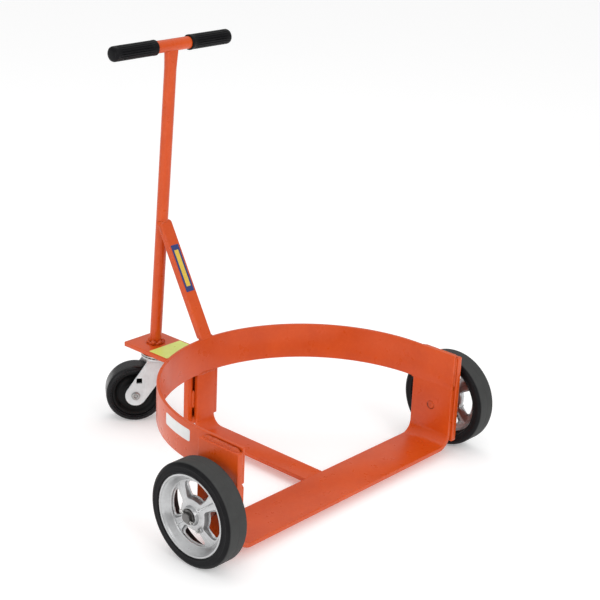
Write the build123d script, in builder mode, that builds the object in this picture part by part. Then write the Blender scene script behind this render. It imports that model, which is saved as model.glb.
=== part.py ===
from build123d import *
from math import cos, degrees, radians, sin
import os

# Low three-wheel drum caddy: a half ring wraps the drum, flat straps run under it, two wheels on
# stub axles stand beside it, and a swivel caster under the handle carries the back.
# Millimetres, +Z up, floor at Z = 0, open front towards -Y, handle towards +Y. In the plan the ring's
# centre is the local origin, and ring_y puts the frame's origin under the middle of the whole caddy.

# ---- driving dimensions ---------------------------------------------------------------------------
ring_y = -197.3                     # where the ring's centre lies along Y
edge_break = 0.8                    # softened edge of sheared bar and plate

ring_radius = 311.15                # inner face of the ring, a 24 1/2 in opening
band_thickness = 6.35
band_bottom = 152.4
band_height = 76.2

strap_width = 101.6                 # 4 in flat bar, bent up at both ends
strap_thickness = 9.525
strap_top = 26.0                    # the face the drum stands on
strap_bend = 25.0                   # inside radius of every strap bend
centre_strap_width = 50.8

channel_width = 86.0                # open-fronted channel behind the rear upright
channel_depth = 16.0
channel_wall = 12.0
channel_web = 6.35
channel_bottom = 43.0
channel_stitch = (74.0, 114.0)      # heights between which its stitch welds run

axle_plate_thickness = 12.7
axle_plate_width = 101.6
axle_plate_front = -105.6           # 4 mm ahead of the strap's front edge
axle_plate_bottom = 31.0
axle_plate_top = 222.0

axle_radius = 9.525                 # 3/4 in axle
axle_y = -50.8
axle_height = 101.6
axle_end = 408.5
axle_weld_radius = 9.0

wheel_radius = 101.6                # 8 x 2 in wheel
wheel_width = 50.8
wheel_x = 374.0                     # wheel's middle plane from the centreline
rim_radius = 80.0
rim_back = -3.0                     # the casting stops here, inboard of the wheel's middle
web_face = 5.0                      # recessed face of the spoked web
web_back = 1.0
web_radius = 62.0
boss_radius = 17.0
cup_radius = 15.05
cup_bore = 13.5
cup_half = 22.0
roller_radius = 1.95
roller_count = 14
roller_pitch = cup_bore - roller_radius
window_inner = 34.5
window_outer = 60.5
window_half_angle = 28.0
spoke_angle = {-1: 49.0, 1: 43.5}   # first spoke of the left and right wheel, from +Y towards +Z
spoke_count = 4
running_gap = 0.3                   # end play beside a turning hub
washer_thickness = 2.3
washer_radius = 17.0
outer_washer_radius = 14.5
axle_clearance = 0.1
cotter_wire = 1.0
cotter_eye = 3.2
cotter_hole = 2.6
cotter_angle = 27.0
cotter_head = 14.0                  # how far the head stands from the axle's middle
cotter_split = 1.1                  # half the distance between its two legs
cotter_bend = 12.5                  # where the legs part, beyond the axle
cotter_tail = 20.0
cotter_spread = 7.0
axle_weld_height = 1.2

spoke_rise = 18.0                   # spoke face at the boss, out from the wheel's middle
spoke_fall = 8.5                    # spoke face at the rim
rib_height = 2.0
rib_width = 2.0
window_margin = 4.0                 # recessed border round each window
window_corner = 5.0
tyre_shoulder = 6.5
rim_back_radius = 75.0
fitting_radius = 31.0               # grease fitting, on the third spoke of each wheel
fitting_spoke = 2
fitting_pad = 4.5
fitting_seat = 18.6                 # its seat, out from the wheel's middle
fitting_bore = 2.5
fitting_hex = 7.0
fitting_rise = 8.0
roller_half = 18.0
cage_gap = 0.25
cage_ring = 2.5

plate_half_width = 49.0             # plate that carries the caster and the handle
plate_back = 517.0
plate_bottom = 162.0
plate_thickness = 9.525

tube_radius = 12.7                  # 1 in handle tube
tube_wall = 2.1
tube_foot = 470.0                   # leans forward from here ...
bar_y = 430.5                       # ... to the crossbar
bar_height = 827.5
bar_radius = 12.7
bar_wall = 2.0
bar_half = 156.0
pinch_length = 46.0                 # flattened end under the crossbar
pinch_width = 33.0
pinch_depth = 14.0
grip_radius = 15.5
grip_collar = 15.9
grip_start = 46.0
grip_end = 160.5
grip_flutes = 18

brace_width = 31.75                 # 1 1/4 x 1/2 in bar channel
brace_depth = 12.0
brace_wall = 3.0
brace_lean = 29.8                   # degrees off the vertical
brace_foot = 312.0
brace_top = 457.0
brace_corner = 10.0

swivel_y = 458.0                    # caster's swivel axis
caster_trail = 52.0
caster_heading = 141.5              # trailing direction at rest, turned from +X
caster_radius = 63.5                # 5 x 2 in wheel
caster_width = 50.8
caster_plate_radius = 37.0
caster_plate_thickness = 6.35
race_radius = 39.0
race_gap = (148.5, 150.5)           # heights of the lower and the upper race's facing rims
ball_radius = 4.0
ball_pitch = 34.0
ball_count = 24
ball_clearance = 0.08
crown_top = 147.0
crown_thickness = 6.0
leg_gap = 27.6                      # inside face of a fork leg from the wheel's middle
leg_thickness = 5.0
leg_boss = 22.5
kingpin_radius = 6.35
bolt_radius = 6.35
nut_across = 19.05
nut_height = 8.0
rivet_radius = 9.5                  # low round heads on the caster's axle
rivet_height = 3.0
sleeve_radius = 9.5
caster_bore = 13.5
caster_core_radius = 50.0
caster_boss = 18.0
caster_disc = 12.0
caster_rim = 19.0
caster_shoulder = 7.0
crown_half = 28.5
leg_slot = (44.5, 98.5)             # square window in each fork leg, from the swivel axis
leg_slot_size = 12.4
kingpin_bottom = 129.0

weld_leg = 6.0
foot_weld_leg = 8.0
plate_weld_reach = 10.0             # how far the top fillet runs out over the axle plate
band_decal_angles = (6.5, 22.9)     # from -X towards +Y
band_decal_bottom = 191.5
band_decal_height = 24.0
plate_decal_width = 90.0
plate_decal_span = (386.0, 441.0)
brace_decal_width = 21.5
brace_decal_length = 103.0
brace_decal_middle = 156.0          # along the brace from its foot

decal_thickness = 0.3

# ---- worked out from them -------------------------------------------------------------------------
band_outer = ring_radius + band_thickness
band_top = band_bottom + band_height
upright_outer = ring_radius + strap_thickness
strap_bottom = strap_top - strap_thickness
strap_half = centre_strap_width / 2
plate_top = plate_bottom + plate_thickness
axle_plate_outer = upright_outer + axle_plate_thickness
channel_front = upright_outer
channel_back = channel_front + channel_depth
caster_plate_bottom = plate_bottom - caster_plate_thickness
ball_height = sum(race_gap) / 2
spoke_step = 360 / spoke_count

tube_run = Vector(0, bar_y - tube_foot, bar_height - plate_top)
tube_length = tube_run.length
tube_plane = Plane(origin=(0, ring_y + tube_foot, plate_top), x_dir=(1, 0, 0), z_dir=tube_run)
brace_dir = Vector(0, sin(radians(brace_lean)), cos(radians(brace_lean)))
brace_plane = Plane(origin=(0, ring_y + brace_foot, band_top), x_dir=(1, 0, 0), z_dir=brace_dir)
trail_dir = Vector(cos(radians(caster_heading)), sin(radians(caster_heading)), 0)
caster_axle_dir = Vector(-trail_dir.Y, trail_dir.X, 0)
swivel_point = Vector(0, ring_y + swivel_y, 0)
caster_centre = swivel_point + trail_dir * caster_trail + Vector(0, 0, caster_radius)


def level(height):
    """Plan at a height, with the ring's centre as its origin."""
    return Plane(origin=(0, ring_y, height))


def from_side(x):
    """Side elevation at x: local x runs back along +Y, local y runs up."""
    return Plane(origin=(x, ring_y, 0), x_dir=(0, 1, 0), z_dir=(1, 0, 0))


def from_front(y):
    """Front elevation at y: local x runs along +X, local y runs up."""
    return Plane(origin=(0, ring_y + y, 0), x_dir=(1, 0, 0), z_dir=(0, -1, 0))


def wheel_section(side):
    """Section through a wheel's axis: local x runs outboard, local y runs up from the axle."""
    centre = (side * wheel_x, ring_y + axle_y, axle_height)
    return Plane(origin=centre, x_dir=(side, 0, 0), z_dir=(0, -side, 0))


def wheel_face(side, out):
    """Face view of a wheel, out from its middle plane: local x along +Y, local y up."""
    centre = (side * (wheel_x + out), ring_y + axle_y, axle_height)
    return Plane(origin=centre, x_dir=(0, 1, 0), z_dir=(1, 0, 0))


def axle_axis():
    return Axis((0, ring_y + axle_y, axle_height), (1, 0, 0))


def caster_side(out):
    """Side view of the caster, out along its axle from the wheel's middle, from the swivel axis."""
    return Plane(origin=swivel_point + caster_axle_dir * out, x_dir=trail_dir, z_dir=-caster_axle_dir)


def caster_section():
    """Section through the caster wheel's axis: local x along the axle, local y up from it."""
    return Plane(origin=caster_centre, x_dir=caster_axle_dir, z_dir=caster_axle_dir.cross(Vector(0, 0, 1)))


def caster_axis():
    return Axis(caster_centre, caster_axle_dir)


def save(piece, node):
    piece.part.label = node
    export_step(piece.part, f"parts/{node}.step")


def cut_axle_holes(radius):
    """Both axle holes of the part being built, in one cut across the caddy."""
    with BuildSketch(from_side(-axle_end)) as holes:
        with Locations((axle_y, axle_height)):
            Circle(radius)
    extrude(holes.sketch, amount=2 * axle_end, mode=Mode.SUBTRACT)


os.makedirs("parts", exist_ok=True)

# ---- ring and straps ------------------------------------------------------------------------------
with BuildPart() as ring_band:
    with BuildSketch(level(band_bottom)):
        with BuildLine():
            for radius in (ring_radius, band_outer):
                Line((radius, -strap_width), (radius, 0))
                ThreePointArc((radius, 0), (0, radius), (-radius, 0))
                Line((-radius, 0), (-radius, -strap_width))
            for side in (-1, 1):
                Line((side * ring_radius, -strap_width), (side * band_outer, -strap_width))
        make_face()
    extrude(amount=band_height)
    fillet(ring_band.edges().group_by(Axis.Z)[-1], edge_break)
    fillet(ring_band.edges().group_by(Axis.Z)[0], edge_break)
save(ring_band, "ring_band")

with BuildPart() as front_strap:
    with BuildSketch(from_front(-strap_width)) as strap_outline:
        with BuildLine():
            Polyline(
                (-upright_outer, band_bottom),
                (-ring_radius, band_bottom),
                (-ring_radius, strap_top),
                (ring_radius, strap_top),
                (ring_radius, band_bottom),
                (upright_outer, band_bottom),
                (upright_outer, strap_bottom),
                (-upright_outer, strap_bottom),
                close=True,
            )
        make_face()
        fillet(strap_outline.vertices().group_by(Axis.Y)[0], strap_bend + strap_thickness)
        fillet(strap_outline.vertices().filter_by_position(Axis.Y, strap_top, strap_top + 1), strap_bend)
    extrude(amount=-strap_width)
    fillet(front_strap.edges().group_by(Axis.Y)[0], edge_break)
    cut_axle_holes(axle_radius + axle_clearance)
save(front_strap, "front_strap")

with BuildPart() as centre_strap:
    with BuildSketch(from_side(0)) as strap_outline:
        with BuildLine():
            Polyline(
                (0, strap_bottom),
                (0, strap_top),
                (ring_radius, strap_top),
                (ring_radius, band_bottom),
                (upright_outer, band_bottom),
                (upright_outer, strap_bottom),
                close=True,
            )
        make_face()
        outer_corner = strap_outline.vertices().sort_by(Axis.X)[-2:].sort_by(Axis.Y)[0]
        fillet(outer_corner, strap_bend + strap_thickness)
        inner_corner = strap_outline.vertices().filter_by_position(Axis.X, ring_radius, ring_radius + 1)
        fillet(inner_corner.sort_by(Axis.Y)[0], strap_bend)
    extrude(amount=strap_half, both=True)
    fillet(centre_strap.edges().group_by(Axis.X)[0], edge_break)
    fillet(centre_strap.edges().group_by(Axis.X)[-1], edge_break)
save(centre_strap, "centre_strap")

with BuildPart() as rear_channel:
    with BuildSketch(level(channel_bottom)) as channel_outline:
        with Locations((0, channel_front + channel_depth / 2)):
            Rectangle(channel_width, channel_depth)
        with Locations((0, channel_front + (channel_depth - channel_web) / 2)):
            Rectangle(channel_width - 2 * channel_wall, channel_depth - channel_web, mode=Mode.SUBTRACT)
        fillet(channel_outline.vertices().group_by(Axis.Y)[-1], 4 * edge_break)
    extrude(amount=plate_bottom - channel_bottom)
save(rear_channel, "rear_channel")

for side, name in ((-1, "left"), (1, "right")):
    with BuildPart() as axle_plate:
        with BuildSketch(from_side(side * upright_outer)):
            middle_y = axle_plate_front + axle_plate_width / 2
            with Locations((middle_y, (axle_plate_bottom + axle_plate_top) / 2)):
                Rectangle(axle_plate_width, axle_plate_top - axle_plate_bottom)
        extrude(amount=side * axle_plate_thickness)
        fillet(axle_plate.faces().sort_by(Axis.X)[-1 if side > 0 else 0].edges(), 1.5 * edge_break)
        cut_axle_holes(axle_radius + axle_clearance)
    save(axle_plate, f"axle_plate_{name}")

with BuildPart() as mount_plate:
    with BuildSketch(level(plate_bottom)) as plate_outline:
        with Locations((0, (ring_radius + plate_back) / 2)):
            Rectangle(2 * plate_half_width, plate_back - ring_radius)
        Circle(band_outer, mode=Mode.SUBTRACT)
        Rectangle(3 * ring_radius, 2 * ring_radius - band_outer, mode=Mode.SUBTRACT)
        fillet(plate_outline.vertices().group_by(Axis.Y)[-1], 3 * edge_break)
    extrude(amount=plate_thickness)
    fillet(mount_plate.faces().sort_by(Axis.Z)[-1].edges(), edge_break)
save(mount_plate, "caster_mount_plate")

# ---- handle ---------------------------------------------------------------------------------------
with BuildPart() as handle_tube:
    for radius, mode in ((tube_radius, Mode.ADD), (tube_radius - tube_wall, Mode.SUBTRACT)):
        wall = tube_radius - radius
        with BuildSketch(tube_plane.offset(-2 * tube_radius)):
            Circle(radius)
        extrude(amount=2 * tube_radius + tube_length - pinch_length, mode=mode)
        with BuildSketch(tube_plane.offset(tube_length - pinch_length)):
            Circle(radius)
        with BuildSketch(tube_plane.offset(tube_length)):
            SlotOverall(pinch_width - 2 * wall, pinch_depth - 2 * wall)
        loft(mode=mode)
    with BuildSketch(from_side(-pinch_width)):
        with Locations((bar_y, bar_height)):
            Circle(bar_radius)
    extrude(amount=2 * pinch_width, mode=Mode.SUBTRACT)
    split(bisect_by=level(plate_top), keep=Keep.TOP)
    crest = Plane(origin=(0, ring_y, bar_height))
    split(bisect_by=crest, keep=Keep.BOTTOM)
save(handle_tube, "handle_tube")

with BuildPart() as crossbar:
    with BuildSketch(from_side(-bar_half)):
        with Locations((bar_y, bar_height)):
            Circle(bar_radius)
            Circle(bar_radius - bar_wall, mode=Mode.SUBTRACT)
    extrude(amount=2 * bar_half)
save(crossbar, "handle_crossbar")

bar_axis = Axis((0, ring_y + bar_y, bar_height), (1, 0, 0))
for side, name in ((-1, "left"), (1, "right")):
    with BuildPart() as grip:
        bar_plane = Plane(origin=(0, ring_y + bar_y, bar_height), x_dir=(side, 0, 0), z_dir=(0, -side, 0))
        with BuildSketch(bar_plane) as grip_profile:
            with BuildLine():
                Polyline(
                    (grip_start, bar_radius),
                    (grip_start, grip_collar),
                    (grip_start + 7, grip_collar),
                    (grip_start + 9, grip_radius),
                    (grip_end, grip_radius),
                    (grip_end, 0),
                    (bar_half, 0),
                    (bar_half, bar_radius),
                    close=True,
                )
            make_face()
            tip = grip_profile.vertices().group_by(Axis.X)[-1].sort_by(Axis.Y)[-1]
            fillet(tip, 0.32 * grip_radius)
        revolve(axis=bar_axis)
        flute_plane = Plane(origin=(side * (grip_start + 12), ring_y + bar_y, bar_height),
                            x_dir=(0, 1, 0), z_dir=(side, 0, 0))
        with BuildSketch(flute_plane):
            with PolarLocations(grip_radius + 0.5, grip_flutes):
                Circle(1.2)
        extrude(amount=grip_end - grip_start - 24, mode=Mode.SUBTRACT)
    save(grip, f"grip_{name}")

with BuildPart() as handle_brace:
    with BuildSketch(brace_plane.offset(-brace_width)):
        with Locations((0, brace_depth / 2)):
            Rectangle(brace_width, brace_depth)
        with Locations((0, (brace_depth + brace_wall) / 2)):
            Rectangle(brace_width - 2 * brace_wall, brace_depth - brace_wall, mode=Mode.SUBTRACT)
    extrude(amount=brace_top)
    with BuildSketch(from_side(-brace_width)):
        face_run = (brace_top - band_top) * brace_dir.Y / brace_dir.Z
        with BuildLine():
            Polyline(
                (brace_foot, band_top),
                (brace_foot + face_run, brace_top),
                (brace_foot + face_run + 2 * brace_width, brace_top),
                (brace_foot + 2 * brace_width, band_top),
                close=True,
            )
        make_face()
    extrude(amount=2 * brace_width, mode=Mode.INTERSECT)
    with BuildSketch(from_front(0)) as brace_front:
        with Locations((0, brace_top / 2)):
            Rectangle(brace_width, brace_top)
        fillet(brace_front.vertices().group_by(Axis.Y)[-1], brace_corner)
    extrude(amount=-plate_back, mode=Mode.INTERSECT)
    with BuildSketch(tube_plane):
        Circle(tube_radius + axle_clearance)
    extrude(amount=tube_length, mode=Mode.SUBTRACT)
save(handle_brace, "handle_brace")

# ---- stub axles and their fittings ----------------------------------------------------------------
hub_face = wheel_width / 2
hub_inner = wheel_x - hub_face - running_gap
hub_outer = wheel_x + hub_face + running_gap
cotter_x = hub_outer + washer_thickness + cotter_hole


def ring_on_axle(side, start, length, radius):
    """A washer or collar on a stub axle, from start outwards."""
    with BuildSketch(from_side(side * start)) as annulus:
        with Locations((axle_y, axle_height)):
            Circle(radius)
            Circle(axle_radius + axle_clearance / 2, mode=Mode.SUBTRACT)
    extrude(annulus.sketch, amount=side * length)


for side, name in ((-1, "left"), (1, "right")):
    outward = Vector(side, 0, 0)
    cotter_dir = Vector(0, cos(radians(cotter_angle)), sin(radians(cotter_angle)))
    cotter_plane = Plane(origin=(side * cotter_x, ring_y + axle_y, axle_height), x_dir=(1, 0, 0),
                         z_dir=cotter_dir)

    with BuildPart() as axle:
        with BuildSketch(from_side(side * ring_radius)):
            with Locations((axle_y, axle_height)):
                Circle(axle_radius)
        extrude(amount=side * (axle_end - ring_radius))
        chamfer(axle.faces().sort_by(Axis.X)[-1 if side > 0 else 0].edges(), 1.5)
        with BuildSketch(cotter_plane):
            Circle(cotter_hole)
        extrude(amount=2 * axle_radius, both=True, mode=Mode.SUBTRACT)
    save(axle, f"axle_{name}")

    with BuildPart() as collar:
        ring_on_axle(side, axle_plate_outer, hub_inner - washer_thickness - axle_plate_outer, washer_radius)
        chamfer(collar.edges().filter_by(GeomType.CIRCLE).sort_by(Edge.length)[-2:], edge_break)
    save(collar, f"axle_collar_{name}")

    with BuildPart() as washers:
        ring_on_axle(side, hub_inner - washer_thickness, washer_thickness, washer_radius)
        ring_on_axle(side, hub_outer, washer_thickness, outer_washer_radius)
    save(washers, f"axle_washers_{name}")

    cotter_face = Plane(origin=cotter_plane.origin, x_dir=cotter_dir, z_dir=(1, 0, 0))
    with BuildPart() as cotter_pin:
        for leg in (-1, 1):
            bend = cotter_face.from_local_coords((-cotter_bend, leg * cotter_split, 0))
            tail = cotter_face.from_local_coords((-cotter_tail, leg * cotter_spread, 0))
            with BuildSketch(Plane(origin=bend, z_dir=cotter_dir)):
                Circle(cotter_wire)
            extrude(amount=cotter_bend + cotter_head)
            with BuildSketch(Plane(origin=tail, z_dir=bend - tail)):
                Circle(cotter_wire)
            extrude(amount=(bend - tail).length + cotter_wire)
        with Locations(cotter_face.location * Location((cotter_head + 0.9 * cotter_eye, 0, 0))):
            Torus(cotter_eye, cotter_wire)
    save(cotter_pin, f"cotter_pin_{name}")

    with BuildPart() as axle_weld:
        with BuildSketch(wheel_section(side)):
            upright_face = ring_radius - wheel_x
            with BuildLine():
                Polyline(
                    (upright_face, 0),
                    (upright_face, axle_weld_radius),
                    (upright_face - 0.7 * axle_weld_height, 0.8 * axle_weld_radius),
                    (upright_face - axle_weld_height, 0.4 * axle_weld_radius),
                    (upright_face - axle_weld_height, 0),
                    close=True,
                )
            make_face()
        revolve(axis=axle_axis())
    save(axle_weld, f"axle_weld_{name}")

# ---- the two big wheels ---------------------------------------------------------------------------
for side, name in ((-1, "left"), (1, "right")):
    section = wheel_section(side)

    with BuildPart() as hub:
        with BuildSketch(section):
            with BuildLine():
                Polyline(
                    (hub_face, cup_radius),
                    (hub_face, boss_radius),
                    (spoke_rise, boss_radius + 3),
                    (spoke_fall, web_radius),
                    (spoke_fall + 1, web_radius + 4),
                    (hub_face - 5, rim_radius - 6.5),
                    (hub_face - 1.8, rim_radius - 4),
                    (hub_face - 1.8, rim_radius),
                    (rim_back, rim_radius),
                    (rim_back, rim_back_radius),
                    (-web_back, rim_back_radius - 2),
                    (-web_back, boss_radius + 4.5),
                    (-hub_face, boss_radius),
                    (-hub_face, cup_radius),
                    close=True,
                )
            make_face()
        revolve(axis=axle_axis())
        for spoke in range(spoke_count):
            spoke_turn = radians(spoke_angle[side] + spoke * spoke_step)
            spoke_dir = Vector(0, cos(spoke_turn), sin(spoke_turn))
            if spoke % 2:
                rib_plane = Plane(origin=section.origin, x_dir=(side, 0, 0),
                                  z_dir=Vector(side, 0, 0).cross(spoke_dir))
                with BuildSketch(rib_plane):
                    with BuildLine():
                        Polyline(
                            (0, boss_radius),
                            (spoke_rise + rib_height, boss_radius),
                            (spoke_rise + rib_height, boss_radius + 3),
                            (spoke_fall + rib_height, web_radius + 1),
                            (0, web_radius + 1),
                            close=True,
                        )
                    make_face()
                extrude(amount=rib_width / 2, both=True)
            middle = spoke_angle[side] + (spoke + 0.5) * spoke_step
            for grow, depth in ((window_margin, web_face), (0, -hub_face)):
                with BuildSketch(wheel_face(side, depth)) as window:
                    spread = window_half_angle + degrees(grow / window_outer)
                    with BuildLine():
                        low = CenterArc((0, 0), window_inner - grow, middle - spread, 2 * spread)
                        high = CenterArc((0, 0), window_outer + grow, middle - spread, 2 * spread)
                        Line(low @ 0, high @ 0)
                        Line(low @ 1, high @ 1)
                    make_face()
                    fillet(window.vertices(), window_corner + grow)
                extrude(amount=side * wheel_width, mode=Mode.SUBTRACT)
        fitting_turn = radians(spoke_angle[side] + fitting_spoke * spoke_step)
        fitting_spot = (fitting_radius * cos(fitting_turn), fitting_radius * sin(fitting_turn))
        with BuildSketch(wheel_face(side, web_face)) as pad:
            with Locations(fitting_spot):
                Circle(fitting_pad)
        extrude(amount=side * (fitting_seat - web_face))
        with BuildSketch(wheel_face(side, web_face)) as pad_hole:
            with Locations(fitting_spot):
                Circle(fitting_bore)
        extrude(amount=side * wheel_width, mode=Mode.SUBTRACT)
    save(hub, f"wheel_hub_{name}")

    with BuildPart() as fitting:
        with BuildSketch(wheel_face(side, web_face)) as stem:
            with Locations(fitting_spot):
                Circle(fitting_bore - axle_clearance)
        extrude(amount=side * (fitting_seat + 0.7 * fitting_rise - web_face))
        with BuildSketch(wheel_face(side, fitting_seat)) as hexagon:
            with Locations(fitting_spot):
                RegularPolygon(fitting_hex / 2, 6, major_radius=False)
        extrude(amount=side * 0.35 * fitting_rise)
        with Locations(wheel_face(side, fitting_seat + 0.75 * fitting_rise).location * Pos(*fitting_spot)):
            Sphere(0.32 * fitting_rise)
    save(fitting, f"grease_fitting_{name}")

    with BuildPart() as tyre:
        with BuildSketch(section) as tyre_profile:
            with BuildLine():
                Polyline(
                    (hub_face - 1.8, rim_radius),
                    (hub_face - 0.6, rim_radius + 1.6),
                    (hub_face, rim_radius + 3.2),
                    (hub_face, wheel_radius),
                    (-hub_face, wheel_radius),
                    (-hub_face, rim_radius + 1),
                    (rim_back, rim_back_radius + 1),
                    (rim_back, rim_radius),
                    close=True,
                )
            make_face()
            fillet(tyre_profile.vertices().group_by(Axis.Y)[-1], tyre_shoulder)
        revolve(axis=axle_axis())
    save(tyre, f"wheel_tyre_{name}")

    with BuildPart() as cup:
        with BuildSketch(wheel_face(side, -cup_half)):
            Circle(cup_radius)
            Circle(cup_bore, mode=Mode.SUBTRACT)
        extrude(amount=side * 2 * cup_half)
    save(cup, f"bearing_cup_{name}")

    with BuildPart() as rollers:
        with BuildSketch(wheel_face(side, -roller_half)):
            with PolarLocations(roller_pitch, roller_count):
                Circle(roller_radius)
        extrude(amount=side * 2 * roller_half)
    save(rollers, f"bearing_rollers_{name}")

    with BuildPart() as cage:
        for start in (-roller_half - cage_gap - cage_ring, roller_half + cage_gap):
            with BuildSketch(wheel_face(side, start)):
                Circle(cup_bore - cage_gap)
                Circle(axle_radius + cage_gap, mode=Mode.SUBTRACT)
            extrude(amount=side * cage_ring)
    save(cage, f"bearing_cage_{name}")

# ---- swivel caster: the half fixed under the mounting plate ---------------------------------------
swivel_axis = Axis(swivel_point, (0, 0, 1))


def swivel_level(height):
    """Plan at a height, centred on the swivel axis, local x along the trailing direction."""
    return Plane(origin=swivel_point + Vector(0, 0, height), x_dir=trail_dir, z_dir=(0, 0, 1))


def cut_ball_track():
    """The groove that the swivel balls run in."""
    track_plane = Plane(origin=swivel_point, x_dir=(1, 0, 0), z_dir=(0, -1, 0))
    with BuildSketch(track_plane) as groove:
        with Locations((ball_pitch, ball_height)):
            Circle(ball_radius + ball_clearance)
    revolve(groove.sketch, axis=swivel_axis, mode=Mode.SUBTRACT)


with BuildPart() as caster_plate:
    with BuildSketch(level(caster_plate_bottom)):
        with Locations((0, swivel_y)):
            Circle(caster_plate_radius)
            Circle(kingpin_radius, mode=Mode.SUBTRACT)
    extrude(amount=caster_plate_thickness)
save(caster_plate, "caster_top_plate")

with BuildPart() as upper_race:
    with BuildSketch(swivel_level(race_gap[1])):
        Circle(race_radius)
        Circle(kingpin_radius, mode=Mode.SUBTRACT)
    extrude(amount=caster_plate_bottom - race_gap[1])
    fillet(upper_race.edges().group_by(Axis.Z)[0].sort_by(Edge.length)[-1], 2 * edge_break)
    cut_ball_track()
save(upper_race, "caster_upper_race")

with BuildPart() as kingpin:
    with BuildSketch(swivel_level(kingpin_bottom)):
        Circle(kingpin_radius)
    extrude(amount=plate_bottom - kingpin_bottom)
    chamfer(kingpin.faces().sort_by(Axis.Z)[0].edges(), 1)
save(kingpin, "caster_kingpin")

with BuildPart() as kingpin_nut:
    nut_top = crown_top - crown_thickness - running_gap
    with BuildSketch(swivel_level(nut_top - nut_height)):
        RegularPolygon(nut_across / 2, 6, major_radius=False)
        Circle(kingpin_radius, mode=Mode.SUBTRACT)
    extrude(amount=nut_height)
save(kingpin_nut, "caster_kingpin_nut")

# ---- swivel caster: the half that swivels ---------------------------------------------------------
with BuildPart() as balls:
    with Locations(swivel_level(ball_height)):
        with PolarLocations(ball_pitch, ball_count):
            Sphere(ball_radius)
save(balls, "caster_swivel_balls")

fork_half = leg_gap + leg_thickness
with BuildPart() as fork:
    with BuildSketch(swivel_level(crown_top - crown_thickness)) as crown_outline:
        Rectangle(2 * crown_half, 2 * fork_half)
        fillet(crown_outline.vertices(), 5 * edge_break)
        Circle(race_radius)
    extrude(amount=crown_thickness)
    with BuildSketch(swivel_level(crown_top)):
        Circle(race_radius)
    extrude(amount=race_gap[0] - crown_top)
    for side in (-1, 1):
        with BuildSketch(caster_side(side * leg_gap)):
            with BuildLine():
                CenterArc((caster_trail, caster_radius), leg_boss, 0, 360)
                Line((-crown_half, crown_top - 1), (crown_half, crown_top - 1))
            make_hull()
        extrude(amount=-side * leg_thickness)
    with BuildSketch(caster_side(fork_half)):
        with Locations((caster_trail, caster_radius)):
            Circle(bolt_radius + axle_clearance)
        with Locations(leg_slot):
            Rectangle(leg_slot_size, leg_slot_size)
    extrude(amount=2 * fork_half, mode=Mode.SUBTRACT)
    with BuildSketch(swivel_level(0)):
        Circle(kingpin_radius + axle_clearance)
    extrude(amount=caster_plate_bottom, mode=Mode.SUBTRACT)
    cut_ball_track()
save(fork, "caster_fork")

with BuildPart() as caster_bolt:
    with BuildSketch(caster_section()):
        with BuildLine():
            Polyline(
                (-fork_half - rivet_height, 0),
                (-fork_half - rivet_height, rivet_radius - edge_break),
                (-fork_half - rivet_height + edge_break, rivet_radius),
                (-fork_half, rivet_radius),
                (-fork_half, bolt_radius),
                (fork_half + rivet_height, bolt_radius),
                (fork_half + rivet_height, 0),
                close=True,
            )
        make_face()
    revolve(axis=caster_axis())
save(caster_bolt, "caster_axle_bolt")

with BuildPart() as caster_nut:
    nut_plane = Plane(origin=caster_centre + caster_axle_dir * fork_half, x_dir=(0, 0, 1),
                      z_dir=caster_axle_dir)
    with BuildSketch(nut_plane):
        Circle(rivet_radius)
        Circle(bolt_radius, mode=Mode.SUBTRACT)
    extrude(amount=rivet_height)
    outer_rim = caster_nut.edges().filter_by(GeomType.CIRCLE).sort_by(Edge.length)[-2:]
    chamfer(outer_rim.sort_by(lambda rim: (rim.center() - caster_centre).length)[-1], edge_break)
save(caster_nut, "caster_axle_nut")

with BuildPart() as sleeve:
    with BuildSketch(caster_section()):
        with Locations((0, bolt_radius + axle_clearance)):
            Rectangle(2 * leg_gap, sleeve_radius - bolt_radius - axle_clearance,
                      align=(Align.CENTER, Align.MIN))
    revolve(axis=caster_axis())
save(sleeve, "caster_axle_sleeve")

# ---- caster wheel ---------------------------------------------------------------------------------
caster_hub_half = leg_gap - running_gap
with BuildPart() as caster_core:
    with BuildSketch(caster_section()):
        for end in (-1, 1):
            with BuildLine():
                Polyline(
                    (0, caster_bore),
                    (end * caster_hub_half, caster_bore),
                    (end * caster_hub_half, caster_boss),
                    (end * caster_disc, caster_boss + 4),
                    (end * caster_disc, caster_core_radius - 10),
                    (end * caster_rim, caster_core_radius - 4),
                    (end * caster_rim, caster_core_radius),
                    (0, caster_core_radius),
                    close=True,
                )
            make_face()
    revolve(axis=caster_axis())
save(caster_core, "caster_wheel_core")

with BuildPart() as caster_tyre:
    with BuildSketch(caster_section()) as tyre_profile:
        with BuildLine():
            Polyline(
                (-caster_rim, caster_core_radius),
                (caster_rim, caster_core_radius),
                (caster_rim + 1.5, caster_core_radius + 1),
                (caster_width / 2, caster_core_radius + 3),
                (caster_width / 2, caster_radius),
                (-caster_width / 2, caster_radius),
                (-caster_width / 2, caster_core_radius + 3),
                (-caster_rim - 1.5, caster_core_radius + 1),
                close=True,
            )
        make_face()
        fillet(tyre_profile.vertices().group_by(Axis.Y)[-1], caster_shoulder)
    revolve(axis=caster_axis())
save(caster_tyre, "caster_wheel_tyre")

with BuildPart() as caster_rollers:
    roller_plane = Plane(origin=caster_centre - caster_axle_dir * roller_half, x_dir=trail_dir,
                         z_dir=caster_axle_dir)
    with BuildSketch(roller_plane):
        with PolarLocations((sleeve_radius + caster_bore) / 2, roller_count):
            Circle((caster_bore - sleeve_radius) / 2 - ball_clearance)
    extrude(amount=2 * roller_half)
save(caster_rollers, "caster_wheel_rollers")

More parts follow.
